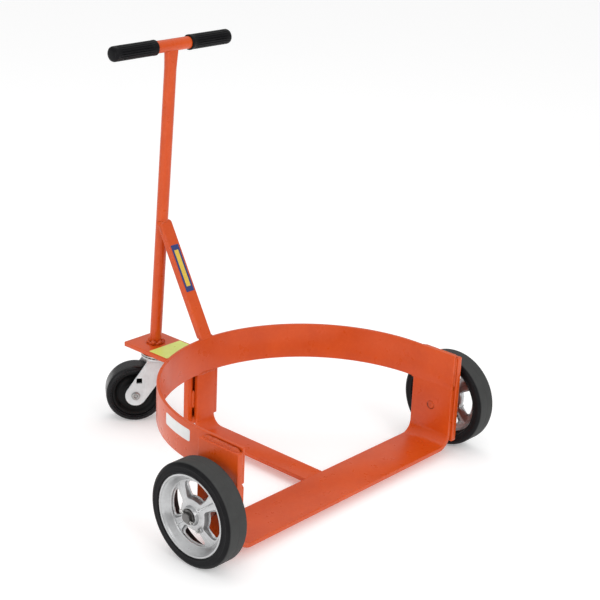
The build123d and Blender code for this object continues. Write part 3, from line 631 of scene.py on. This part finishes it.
for side, name in ((-1, "left"), (1, "right")):
    low, high = box(f"grip_{name}")
    start, end = sorted((abs(low.x), abs(high.x)))
    collar = (high.z - low.z) / 2
    body_radius = collar - 0.4
    flutes = 20
    stations = [(start, bar_radius), (start, collar - 1.2), (start + 0.4, collar - 0.4),
                (start + 1.2, collar),
                (start + 5.4, collar), (start + 6.6, collar - 0.3), (start + 7.6, body_radius)]
    stations += [(x, body_radius) for x in np.linspace(start + 11, end - 14, 14)]
    stations += [(end - 9, body_radius), (end - 6, body_radius - 0.15), (end - 3.6, body_radius - 1.1),
                 (end - 1.8, body_radius - 3.0), (end - 0.7, body_radius - 5.6),
                 (end - 0.15, body_radius - 9.0), (end, 1.2)]
    rings = []
    for x, r in stations:
        deep = 1.5 * min(max((x - start - 9) / 3, 0), 1) * min(max((end - 11 - x) / 3, 0), 1)
        ring = []
        for k in range(flutes * 8):
            turn = 2 * math.pi * k / (flutes * 8)
            dent = max(0.0, math.cos(flutes * turn)) ** 0.7
            radius = r - deep * dent
            ring.append(Vector((side * x, bar_y + radius * math.cos(turn), bar_z + radius * math.sin(turn))))
        rings.append(ring)
    bm = bmesh.new()
    skin(bm, rings)
    as_piece(f"grip_{name}_ribbed", bm, "frame", grip_vinyl, [f"grip_{name}"], 50)

lean = math.radians(29.8)
along = Vector((0, math.sin(lean), math.cos(lean)))
inward = Vector((0, math.cos(lean), -math.sin(lean)))
brace_half = brace_high.x
brace_foot = Vector((0, brace_low.y, brace_low.z))
flange = 12.0
leaf = 3.0
outline = [(-brace_half, 0), (brace_half, 0), (brace_half, flange), (brace_half - leaf, flange),
           (brace_half - leaf, leaf), (-brace_half + leaf, leaf), (-brace_half + leaf, flange),
           (-brace_half, flange)]
outline = rounded(outline, [2.2, 2.2, 0.6, 0.6, 1.4, 1.4, 0.6, 0.6], 4)
bm = bmesh.new()
reach = (brace_high.z - brace_low.z) / along.z
rings = []
for s in np.linspace(-20, reach + 20, 14):
    rings.append([brace_foot + X * a + inward * b + along * s for a, b in outline])
skin(bm, rings)
face_top = brace_foot + along * reach
cuts = [(brace_foot, -UP), (face_top, UP)]
ROUND = 10.0
for turn in (12, 24, 36, 48, 60, 72):
    for side in (-1, 1):
        normal = Vector((side * math.sin(math.radians(turn)), 0, math.cos(math.radians(turn))))
        round_mid = face_top + X * side * (brace_half - ROUND) - UP * ROUND
        cuts.append((round_mid + normal * ROUND, normal))
for at, normal in cuts:
    trim(bm, at, normal)
painted("brace_channel", bm, "handle_brace")

# ---- big wheels -----------------------------------------------------------------------------------
RIM = 80.0
BORE = 15.05
SPOKE = {-1: 49.0, 1: 43.5}
WINDOW_MID = 47.5
WINDOW_HALF = 13.0
WINDOW_TURN = 28.0
WINDOW_CORNER = 5.5
QUARTER_HALF = 23.0
QUARTER_SHIFT = -4.5
WEB_FACE = 5.0
RIB_RISE = 2.0
CORNER_SHARE = 1 - math.sqrt(0.5)


def sector_points(half_u, half_v, corner, per_side):
    """A rounded rectangle's points with the same count from each corner's middle to the next."""
    out = []
    sides = [((1, -1), (1, 1)), ((1, 1), (-1, 1)), ((-1, 1), (-1, -1)), ((-1, -1), (1, -1))]
    for (au, av), (bu, bv) in sides:
        a = Vector((au * half_u, av * half_v))
        b = Vector((bu * half_u, bv * half_v))
        along_side = (b - a).normalized()
        inner_normal = Vector((-along_side.y, along_side.x))
        total = (b - a).length
        for k in range(per_side):
            s = total * k / per_side
            lift = 0.0
            for near in (s, total - s):
                if near < corner:
                    lift = corner - math.sqrt(max(corner ** 2 - (corner - near) ** 2, 0.0))
            if corner and min(s, total - s) < corner * CORNER_SHARE:
                near = corner * CORNER_SHARE
                s = near if s < total / 2 else total - near
                lift = corner - math.sqrt(corner ** 2 - (corner - near) ** 2)
            out.append(a + along_side * s + inner_normal * lift)
    return out


def hub_mesh(bm, side):
    """The spoked disc: raised pads with a rib down each spoke, and a stepped border round each window."""
    def place(x, r, turn):
        return Vector((side * (wheel_x + x), axle_y + r * math.cos(turn), wheel_radius + r * math.sin(turn)))

    def pad(r):
        return 18.0 + (8.5 - 18.0) * (r - 20.0) / (62.0 - 20.0)

    per_side = 26
    window = sector_points(WINDOW_HALF, math.radians(WINDOW_TURN) * WINDOW_MID, WINDOW_CORNER, per_side)
    edge = sector_points(QUARTER_HALF, math.radians(45) * WINDOW_MID, 0.0, per_side)
    shift = Vector((QUARTER_SHIFT, 0))
    edge = [q + shift for q in edge]
    from_window = [0.0, 0.35, 1.0, 2.6, 3.2, 3.8, 4.4, 5.0]
    from_edge = [2.6, 1.8, 1.3, 0.9, 0.0]
    for quarter in range(4):
        middle = math.radians(SPOKE[side] + 45 + 90 * quarter)
        fronts = []
        for step in range(len(from_window) + len(from_edge) + 2):
            ring = []
            for p, q in zip(window, edge):
                gap = (q - p).length
                squeeze = min(1.0, (gap - from_edge[0] - 0.3) / from_window[-1])
                if step < len(from_window):
                    d = from_window[step]
                    reach = d * squeeze
                elif step < len(from_window) + 2:
                    k = step - len(from_window) + 1
                    last = from_window[-1] * squeeze
                    reach = last + (gap - from_edge[0] - last) * k / 3
                    d = max(reach, from_window[-1])
                else:
                    reach = gap - from_edge[step - len(from_window) - 2]
                    d = max(reach, from_window[-1])
                at = p.lerp(q, min(max(reach / gap, 0), 1))
                r = WINDOW_MID + at.x
                turn = at.y / WINDOW_MID
                rise = min(max((d - 2.9) / 1.6, 0), 1)
                rise = rise * rise * (3 - 2 * rise)
                x = WEB_FACE + (pad(r) - WEB_FACE) * rise
                x -= 0.7 * (1 - min(d / 0.8, 1)) ** 2
                off = r * abs(math.radians(45) - abs(turn))
                rib = 1 - min(max((off - 0.6) / 0.7, 0), 1)
                odd = (quarter % 2 == 0) == (turn < 0)
                x += 0.0 if odd else RIB_RISE * rib * rib * (3 - 2 * rib)
                ring.append(place(x, r, middle + turn))
            fronts.append(ring)
        backs = []
        for d, x in ((0.0, 3.6), (1.2, 3.0), (3.6, 1.0), (None, 0.0)):
            ring = []
            for p, q in zip(window, edge):
                at = q if d is None else p.lerp(q, d / (q - p).length)
                ring.append(place(x, WINDOW_MID + at.x, middle + at.y / WINDOW_MID))
            backs.append(ring)
        skin(bm, [*fronts[::-1], *backs, fronts[-1]], caps=False)


for side, name in ((-1, "left"), (1, "right")):
    centre = Vector((side * wheel_x, axle_y, wheel_radius))
    out = X * side
    bm = bmesh.new()
    hub_mesh(bm, side)
    face = wheel_half
    rim = [(7.6, 64.0), (9.6, 66.0), (19.6, 73.0), (22.2, 75.6), (face - 1.4, 76.6), (face - 1.0, 78.0),
           (face - 1.4, RIM),
           (-3.0, RIM), (-3.0, 75.2), (0.2, 72.0), (0.2, 64.0)]
    lathe(bm, rounded(rim, [0, 1.6, 2.6, 1.6, 0.6, 0.8, 0.3, 0.8, 1.0, 1.0, 0], 4), centre, out, 144)
    boss = [(face, BORE), (face, 17.0), (18.4, 19.2), (16.9, 22.5), (-0.9, 22.5), (-1.4, 20.8),
            (-face, 17.5), (-face, BORE)]
    lathe(bm, rounded(boss, [0.5, 1.0, 1.4, 0, 0, 1.2, 0.8, 0.5], 4), centre, out, 96)
    low, high = box(f"grease_fitting_{name}")
    seat = Vector((side * wheel_x, (low.y + high.y) / 2, (low.z + high.z) / 2))
    pad = [(5.2, 2.5), (5.2, 5.4), (17.0, 5.0), (18.6, 4.2), (18.6, 2.5)]
    lathe(bm, rounded(pad, [0, 0, 1.2, 0.5, 0.2], 3), seat, out, 40)
    as_piece(f"hub_{name}_cast", bm, f"wheel_{name}", cast, [f"wheel_hub_{name}"], 38)

    bm = bmesh.new()
    R = wheel_radius
    wall = [(face, 84.4), (face - 0.7, 85.0), (face - 1.0, 92.0), (face - 0.6, 93.0), (face - 1.6, 96.6),
            (face - 4.0, 100.2), (face - 7.0, R)]
    tread = [(face - 1.9, RIM), (face - 0.5, RIM + 1.6), (face, RIM + 3.6), *wall,
             (0.9, R), (0.5, R - 0.25), (-0.5, R - 0.25), (-0.9, R), *[(-x, r) for x, r in wall[::-1]],
             (-face, 82.0), (-3.0, 76.0), (-3.0, RIM)]
    turns = [0.3, 0.5, 0.5, 0.4, 2.5, 2.5, 1.5]
    radii = [0.2, 0.8, 1.0, *turns, 0.1, 0.1, 0.1, 0.1, *turns[::-1], 1.0, 1.0, 0.2]
    lathe(bm, rounded(tread, radii, 3), centre, out, 160)
    as_piece(f"tyre_{name}_moulded", bm, f"wheel_{name}", tyre_rubber,
             [f"wheel_tyre_{name}"], 40)

# ---- cotter pins ----------------------------------------------------------------------------------
for side, name in ((-1, "left"), (1, "right")):
    low, high = box(f"cotter_pin_{name}")
    cotter_x = (low.x + high.x) / 2
    mid = Vector((cotter_x, axle_y, wheel_radius))
    turn = math.radians(27)
    up = Vector((0, math.cos(turn), math.sin(turn)))
    across = Vector((0, -math.sin(turn), math.cos(turn)))
    tine = [(-19.5, 6.6), (-15.0, 3.0), (-12.0, 1.3), (-8.0, 1.05), (8.0, 1.05), (12.0, 1.5)]
    eye = [(16.6 + 3.2 * math.cos(a), 3.2 * math.sin(a)) for a in np.radians(np.linspace(140, -140, 15))]
    dense = rounded(tine + eye + [(a, -b) for a, b in tine[::-1]], 3.0, 3, closed=False)
    bm = bmesh.new()
    sweep(bm, [mid + up * a + across * b for a, b in dense], X, tube_section(1.0, 12), 0.5)
    as_piece(f"cotter_{name}_bent", bm, "frame", bolt_zinc, [f"cotter_pin_{name}"], 60)

# ---- caster ---------------------------------------------------------------------------------------
crown_top = fork_top - 1.5
leg_in = 27.6
leg_out = 32.6
leg_round = 22.5
CROWN_HALF = 28.5
hull_circle = Vector((trail_length, caster_radius))


def leg_span(z):
    """How far a fork leg reaches along the trail at a height, as the hull of crown and axle boss."""
    spans = []
    for sign in (-1, 1):
        top = Vector((sign * CROWN_HALF, crown_top - 7.0))
        gap = hull_circle - top
        dist = gap.length
        tilt = math.atan2(gap.y, gap.x) + sign * math.asin(leg_round / dist)
        normal = Vector((math.cos(tilt), math.sin(tilt)))
        reach = math.sqrt(dist ** 2 - leg_round ** 2)
        touch_at = top + normal * reach
        if z >= top.y:
            spans.append(sign * CROWN_HALF)
        elif z >= touch_at.y:
            k = (z - top.y) / (touch_at.y - top.y)
            spans.append(top.x + (touch_at.x - top.x) * k)
        else:
            drop = min(abs(z - hull_circle.y), leg_round)
            spans.append(hull_circle.x + sign * math.sqrt(max(leg_round ** 2 - drop ** 2, 0.0)))
    return spans


def fork_rows(inset):
    """Rows of the fork's sheet from one leg's foot over the crown to the other's; inset from its outside."""
    rows = []
    curve = 8.0
    out = leg_out - inset
    top = crown_top - inset
    radius = max(curve - inset, 2.0)
    turn_z = hull_circle.y + 4
    heights = [hull_circle.y - (leg_round - 0.25) * math.cos(a) for a in np.linspace(0, math.pi / 2, 12)]
    heights += list(np.linspace(turn_z, top - radius, 14))
    profile = [(-out, z) for z in heights]
    profile += [(-out + radius - radius * math.cos(a), top - radius + radius * math.sin(a))
                for a in np.linspace(0, math.pi / 2, 7)[1:]]
    profile += [(w, top) for w in np.linspace(-out + radius, out - radius, 9)[1:-1]]
    far_side = [(-w, z) for w, z in profile[::-1]]
    unique = []
    for p in profile + far_side:
        if not unique or (Vector(p) - Vector(unique[-1])).length > 0.05:
            unique.append(p)
    for w, z in unique:
        low, high = leg_span(z)
        row = []
        for k in range(15):
            u = low + (high - low) * (0.5 - 0.5 * math.cos(math.pi * k / 14))
            row.append(swivel + trail * u + axle_dir * w + UP * z)
        rows.append(row)
    return rows


outer_rows = fork_rows(0.0)
inner_rows = fork_rows(leg_out - leg_in)
bm = bmesh.new()
loops = []
for outside, inside in zip(outer_rows, inner_rows):
    loops.append(outside + inside[::-1])
skin(bm, loops)
bmesh.ops.recalc_face_normals(bm, faces=bm.faces)
soften(bm, 0.9, 2, 55)
race = [(crown_top - 3.0, 7.0), (crown_top - 3.0, 38.0), (crown_top - 0.5, 39.0), (fork_top, 38.4),
        (fork_top, 29.0), (crown_top + 0.4, 27.0), (crown_top + 0.4, 7.0)]
lathe(bm, rounded(race, [0, 1, 1, 0.8, 1, 1, 0], 3), swivel, UP, 96)
fork = as_piece("fork_pressed", bm, "caster_fork", zinc, ["caster_fork"], 35)

SLOT_ALONG = 44.5
SLOT_HEIGHT = 98.5
slot_at = swivel + trail * SLOT_ALONG + UP * SLOT_HEIGHT
SLOT = 6.2
bm = bmesh.new()
square = [(-SLOT, -SLOT), (SLOT, -SLOT), (SLOT, SLOT), (-SLOT, SLOT)]
slab(bm, square, slot_at - axle_dir * 40, trail, -UP, 80, 0.6, 2)
cutter_mesh = bpy.data.meshes.new("slot_cutter")
bmesh.ops.recalc_face_normals(bm, faces=bm.faces)
bm.to_mesh(cutter_mesh)
bm.free()
cutter_mesh.transform(Matrix.Scale(MM, 4))
cutter = bpy.data.objects.new("slot_cutter", cutter_mesh)
bpy.context.scene.collection.objects.link(cutter)
cut = fork.modifiers.new("slots", "BOOLEAN")
cut.object = cutter
cut.operation = "DIFFERENCE"
cut.solver = "EXACT"
cut.use_self = True
bpy.context.view_layer.update()
carved = bpy.data.meshes.new_from_object(fork.evaluated_get(bpy.context.evaluated_depsgraph_get()))
fork.modifiers.clear()
fork.data = carved
bpy.data.objects.remove(cutter)
carved.shade_smooth()
carved.set_sharp_from_angle(angle=math.radians(35))

low, high = box("caster_upper_race")
bm = bmesh.new()
race = [(low.z, 6.5), (low.z, 37.6), (low.z + 1.4, 39.0), (low.z + 3.4, 39.0), (high.z, 36.0), (high.z, 6.5)]
lathe(bm, rounded(race, [0, 1.0, 0.8, 1.4, 1.0, 0], 4), swivel, UP, 96)
as_piece("race_pressed", bm, "frame", bolt_zinc, ["caster_upper_race"], 40)

R = caster_radius
half_tread = 25.4
axle_at = Vector((caster_mid.x, caster_mid.y, caster_radius))
bm = bmesh.new()
tread = [(19.0, 50.0), (20.4, 51.0), (22.4, 51.4), (22.8, 53.2), (25.0, 54.2), (half_tread, 57.0),
         (24.2, R - 3.0), (20.0, R - 0.4), (12.0, R)]
tread = mirrored(tread, [0.2, 0.6, 0.5, 0.5, 0.6, 1.5, 3.0, 5.0, 3.0])
lathe(bm, tread, axle_at, axle_dir, 128)
as_piece("caster_tread_moulded", bm, "caster_wheel", tread_rubber,
         ["caster_wheel_tyre"], 40)

bm = bmesh.new()
core = [(27.2, 13.5), (27.2, 17.4), (13.0, 20.5), (12.0, 24.0), (12.0, 36.0), (13.4, 40.0), (18.6, 45.6),
        (19.0, 50.0)]
core = mirrored(core, [0.3, 0.8, 1.5, 2.0, 3.0, 3.0, 1.4, 0.2])
lathe(bm, core, axle_at, axle_dir, 112)
as_piece("caster_core_moulded", bm, "caster_wheel", core_black, ["caster_wheel_core"], 40)

bolt_half = leg_out + 3.0
ends = [(bolt_half - 1.8, 0.0), (bolt_half - 1.8, 3.4), (bolt_half - 0.2, 4.4), (bolt_half, 6.4),
        (bolt_half - 0.6, 9.0), (leg_out, 9.5), (leg_out, 6.3)]
bm = bmesh.new()
lathe(bm, mirrored(ends, [0, 0.8, 0.8, 1.2, 1.0, 0.3, 0.2], 3), axle_at, axle_dir, 64)
as_piece("caster_axle_riveted", bm, "caster_fork", rivet_steel,
         ["caster_axle_bolt", "caster_axle_nut"], 40)

# ---- welds ----------------------------------------------------------------------------------------
bm = bmesh.new()
ring_path = [foot + Vector((math.cos(a), math.sin(a), 0)) * (tube_radius + 1.8) + UP * 1.4
             for a in np.radians(np.linspace(0, 360, 49))]
bead(bm, ring_path, lambda p: ((p - foot).normalized() + UP * 1.1), 6.0, 2.6, 3.4, 1.0, True, 0.9)
lumps = ((190, 10.0, 3.0), (214, 13.5, 9.5), (240, 10.0, 3.5), (262, 14.5, 7.5), (292, 9.0, 3.0),
         (322, 12.5, 6.0), (150, 10.0, 5.0), (95, 11.0, 4.0), (50, 9.0, 3.0), (10, 8.0, 4.0))
for turn, wide, rise in lumps:
    out = Vector((math.cos(math.radians(turn)), math.sin(math.radians(turn)), 0))
    aside = UP.cross(out) * 5.5
    spot = foot + out * (tube_radius + 1.6) + UP * rise * 0.5
    path = [spot - aside, spot + out * 1.2, spot + aside]
    bead(bm, path, out + UP * 0.8, wide, wide * 0.62, 3.0, turn, False, 0.4)
welded("weld_handle_foot", bm, "handle_foot_weld")

bm = bmesh.new()
for side in (-1, 1):
    low, high = box("axle_plate_welds")
    top = box("axle_plate_left")[1].z
    middle = (ring_outer + high.x) / 2
    path = straight((side * middle, low.y + 4, top - 0.2), (side * middle, high.y, top - 0.2), 24)
    bead(bm, path, Vector((side * 0.28, 0, 1)), 13.0, 5.0, 3.2, side * 3.0)
    x, y = side * (ring_outer + 1.6), strap_low.y + 1.0
    path = straight((x, y, ring_low.z + 4), (x, y, top), 24)
    bead(bm, path, -Y, 4.6, 2.8, 2.8, side * 4.0)
welded("weld_axle_plates", bm, "axle_plate_welds")

bm = bmesh.new()
low, high = box("channel_stitch_welds")
for side in (-1, 1):
    x, y = side * (rear_high.x + 2.8), channel_low.y + 0.4
    path = straight((x, y, low.z), (x, y, high.z), 10)
    bead(bm, path, -Y, 9.0, 3.0, 3.0, side * 5.0)
y, z = channel_low.y + 4.5, channel_low.z + 1.0
path = straight((-33.0, y, z), (20.0, y, z), 20)
bead(bm, path, -UP, 15.0, 10.0, 3.4, 6.0)
welded("weld_channel", bm, "channel_stitch_welds")

bm = bmesh.new()
for side in (-1, 1):
    x, y, z = side * (brace_half + 0.3), ring_y + ring_inner, ring_high.z + 0.4
    path = straight((x, y + 0.8, z), (x, y + 9.0, z), 8)
    bead(bm, path, Vector((side, 0, 1)), 5.6, 3.0, 2.2, side * 2.0)
y, z = ring_y + ring_outer - 0.2, ring_high.z + 0.2
path = straight((-15, y, z), (15, y, z), 12)
bead(bm, path, Vector((0, 1, 0.8)), 5.0, 2.6, 2.6, 9.0)
for side in (-1, 1):
    top = brace_foot + along * (reach - 4) + inward * 6
    top += X * side * (tube_radius + 1.0)
    path = straight(top - along * 26, top, 12)
    bead(bm, path, Vector((0, 0.6, 0.4)) + X * side, 6.0, 3.2, 2.8, 11.0 + side)
crest = face_top + inward * 2.2 - along * 2.0
path = [crest + X * a - along * abs(a) ** 2 * 0.030 for a in np.linspace(-13.5, 13.5, 14)]
bead(bm, path, along - inward * 0.5, 7.0, 3.6, 2.8, 14.0, False, 0.5)
welded("weld_brace", bm, "brace_foot_welds")

for side, name in ((-1, "left"), (1, "right")):
    at = Vector((side * (ring_inner + 0.4), axle_y, wheel_radius))
    spiral = []
    for k in range(60):
        a = k * 0.42
        r = 7.4 - 6.2 * k / 59
        spiral.append(at + Vector((0, math.cos(a) * r, math.sin(a) * r)))
    bm = bmesh.new()
    bead(bm, spiral, -X * side, 5.0, 1.1, 2.6, 4.0 + side)
    welded(f"weld_axle_{name}", bm, f"axle_weld_{name}")

bm = bmesh.new()
for z, tilt in ((plate_top + 0.6, 1.0), (plate_low.z - 0.6, -1.0)):
    spots = ((-touch + 2, touch - 2),) if tilt < 0 else ((-touch, -touch * 0.55), (touch * 0.55, touch))
    for a, b in spots:
        path = [Vector((math.sin(math.radians(t)) * (ring_outer + 0.8),
                        ring_y + math.cos(math.radians(t)) * (ring_outer + 0.8), z))
                for t in np.linspace(a, b, 16)]
        bead(bm, path, Vector((0, 1, tilt)), 6.4, 3.2, 2.8, z)
welded("weld_mount_plate", bm)

bm = bmesh.new()
for side in (-1, 1):
    x, z = side * (ring_outer + 0.4), ring_low.z
    path = straight((x, strap_low.y + 6, z), (x, strap_high.y, z), 24)
    bead(bm, path, X * side + UP * 0.6, 5.0, 2.4, 2.6, 20 + side)
y = ring_y + ring_outer + 0.4
path = straight((-24, y, ring_low.z), (24, y, ring_low.z), 16)
bead(bm, path, Y + UP * 0.6, 5.0, 2.4, 2.6, 23)
path = [Vector((x, ring_y + math.sqrt(ring_inner ** 2 - x ** 2) + 0.6, ring_low.z - 0.4))
        for x in np.linspace(-24.5, 24.5, 20)]
bead(bm, path, -Y, 5.5, 1.8, 3.2, 31.0, False, 0.7)
y, z = rear_low.y - 0.2, strap_bottom + 0.6
path = straight((-24, y, z), (24, y, z), 16)
bead(bm, path, -UP + Y * 0.5, 6.0, 2.6, 2.6, 24)
welded("weld_ring_and_straps", bm)

# ---- labels and the CAD nodes that stay -----------------------------------------------------------
white = label("label_white", (0.80, 0.80, 0.79))
yellow = label("label_yellow", (0.74, 0.86, 0.20))
LABEL_BLUE = (0.022, 0.040, 0.17)
LABEL_BAND = (0.72, 0.50, 0.06)
BAND_HALF_WIDTH = 5.6
BAND_HALF_LENGTH = 40
blue = label("label_blue", LABEL_BLUE, 0.25)
centre = (box("brace_decal")[0] + box("brace_decal")[1]) / 2 * MM
offset = blue.node("ShaderNodeVectorMath", {0: blue.place, 1: tuple(centre)}, operation="SUBTRACT").outputs[0]
down = blue.node("ShaderNodeVectorMath", {0: offset, 1: tuple(along)}, operation="DOT_PRODUCT")
wide = blue.node("ShaderNodeSeparateXYZ", {0: offset}).outputs[0]
inside = blue.math("LESS_THAN", blue.math("ABSOLUTE", wide), BAND_HALF_WIDTH * MM)
far = blue.math("ABSOLUTE", down.outputs["Value"])
inside = blue.math("MULTIPLY", inside, blue.math("LESS_THAN", far, BAND_HALF_LENGTH * MM))
blue.set(Base_Color=blue.mix(inside, LABEL_BLUE, LABEL_BAND))

finishes = {"band_decal": white.material, "plate_decal": yellow.material, "brace_decal": blue.material,
            "caster_kingpin": bolt_zinc, "caster_kingpin_nut": bolt_zinc, "caster_swivel_balls": greased,
            "caster_axle_sleeve": greased, "caster_wheel_rollers": greased}
for name in ("left", "right"):
    for part in ("axle", "axle_collar", "axle_washers"):
        finishes[f"{part}_{name}"] = axle_steel
    for part in ("bearing_cup", "bearing_rollers", "bearing_cage"):
        finishes[f"{part}_{name}"] = greased
    finishes[f"grease_fitting_{name}"] = bolt_zinc
for node, material in finishes.items():
    nodes[node].data.materials.clear()
    nodes[node].data.materials.append(material)

# ---- studio ---------------------------------------------------------------------------------------
floor_shader = Shader("studio_floor")
floor_shader.set(Base_Color=(0.90, 0.90, 0.90), Roughness=0.80)
floor_shader.set(Emission_Color=(1.0, 1.0, 1.0), Emission_Strength=0.24)
bm = bmesh.new()
bmesh.ops.create_grid(bm, x_segments=2, y_segments=2, size=30.0)
floor_mesh = bpy.data.meshes.new("floor")
bm.to_mesh(floor_mesh)
bm.free()
floor = bpy.data.objects.new("floor", floor_mesh)
floor_mesh.materials.append(floor_shader.material)
bpy.context.scene.collection.objects.link(floor)

world = bpy.data.worlds.new("studio")
world.use_nodes = True
sky = world.node_tree
direction = sky.nodes.new("ShaderNodeTexCoord").outputs["Generated"]
height = sky.nodes.new("ShaderNodeSeparateXYZ")
sky.links.new(direction, height.inputs[0])
glow = sky.nodes.new("ShaderNodeMapRange")
for key, value in (("From Min", 0.02), ("From Max", 0.75), ("To Min", 0.36), ("To Max", 0.88)):
    glow.inputs[key].default_value = value
sky.links.new(height.outputs[2], glow.inputs["Value"])
sky.nodes["Background"].inputs["Color"].default_value = (1.0, 1.0, 1.0, 1.0)
sky.links.new(glow.outputs[0], sky.nodes["Background"].inputs["Strength"])
bpy.context.scene.world = world


def area_light(name, at, target, size, power):
    data = bpy.data.lights.new(name, "AREA")
    data.shape = "RECTANGLE"
    data.size = size[0]
    data.size_y = size[1]
    data.energy = power
    lamp = bpy.data.objects.new(name, data)
    lamp.location = at
    lamp.rotation_mode = "QUATERNION"
    lamp.rotation_quaternion = (Vector(target) - Vector(at)).to_track_quat("-Z", "Y")
    bpy.context.scene.collection.objects.link(lamp)


area_light("key", (-0.3, -3.2, 2.3), (0, 0, 0.3), (2.0, 1.6), 30)
area_light("fill", (-3.2, -0.6, 1.0), (0, 0, 0.2), (1.6, 1.6), 21)
area_light("top", (0.6, 1.0, 3.4), (0, 0, 0.2), (2.6, 2.6), 13)

# ---- camera ---------------------------------------------------------------------------------------
CAMERA_AT = Vector((-2093.2, -1779.3 + ring_y, 1432.6))
FOCAL = 1520.8
IMAGE = 600
SENSOR = 36.0
yaw = math.radians(48.73)
pitch = math.radians(20.59)
roll = math.radians(2.58)
gaze = Vector((math.sin(yaw) * math.cos(pitch), math.cos(yaw) * math.cos(pitch), -math.sin(pitch)))
level = Vector((math.cos(yaw), -math.sin(yaw), 0))
above = level.cross(gaze)
right = level * math.cos(roll) + above * math.sin(roll)
top = above * math.cos(roll) - level * math.sin(roll)
camera_data = bpy.data.cameras.new("camera")
camera_data.sensor_width = SENSOR
camera_data.lens = SENSOR * FOCAL / IMAGE
camera_data.clip_end = 100
camera = bpy.data.objects.new("camera", camera_data)
turned = Matrix((right, top, -gaze)).transposed().to_4x4()
camera.matrix_world = Matrix.Translation(CAMERA_AT * MM) @ turned
bpy.context.scene.collection.objects.link(camera)
bpy.context.scene.camera = camera
bpy.context.scene.view_settings.view_transform = "Standard"
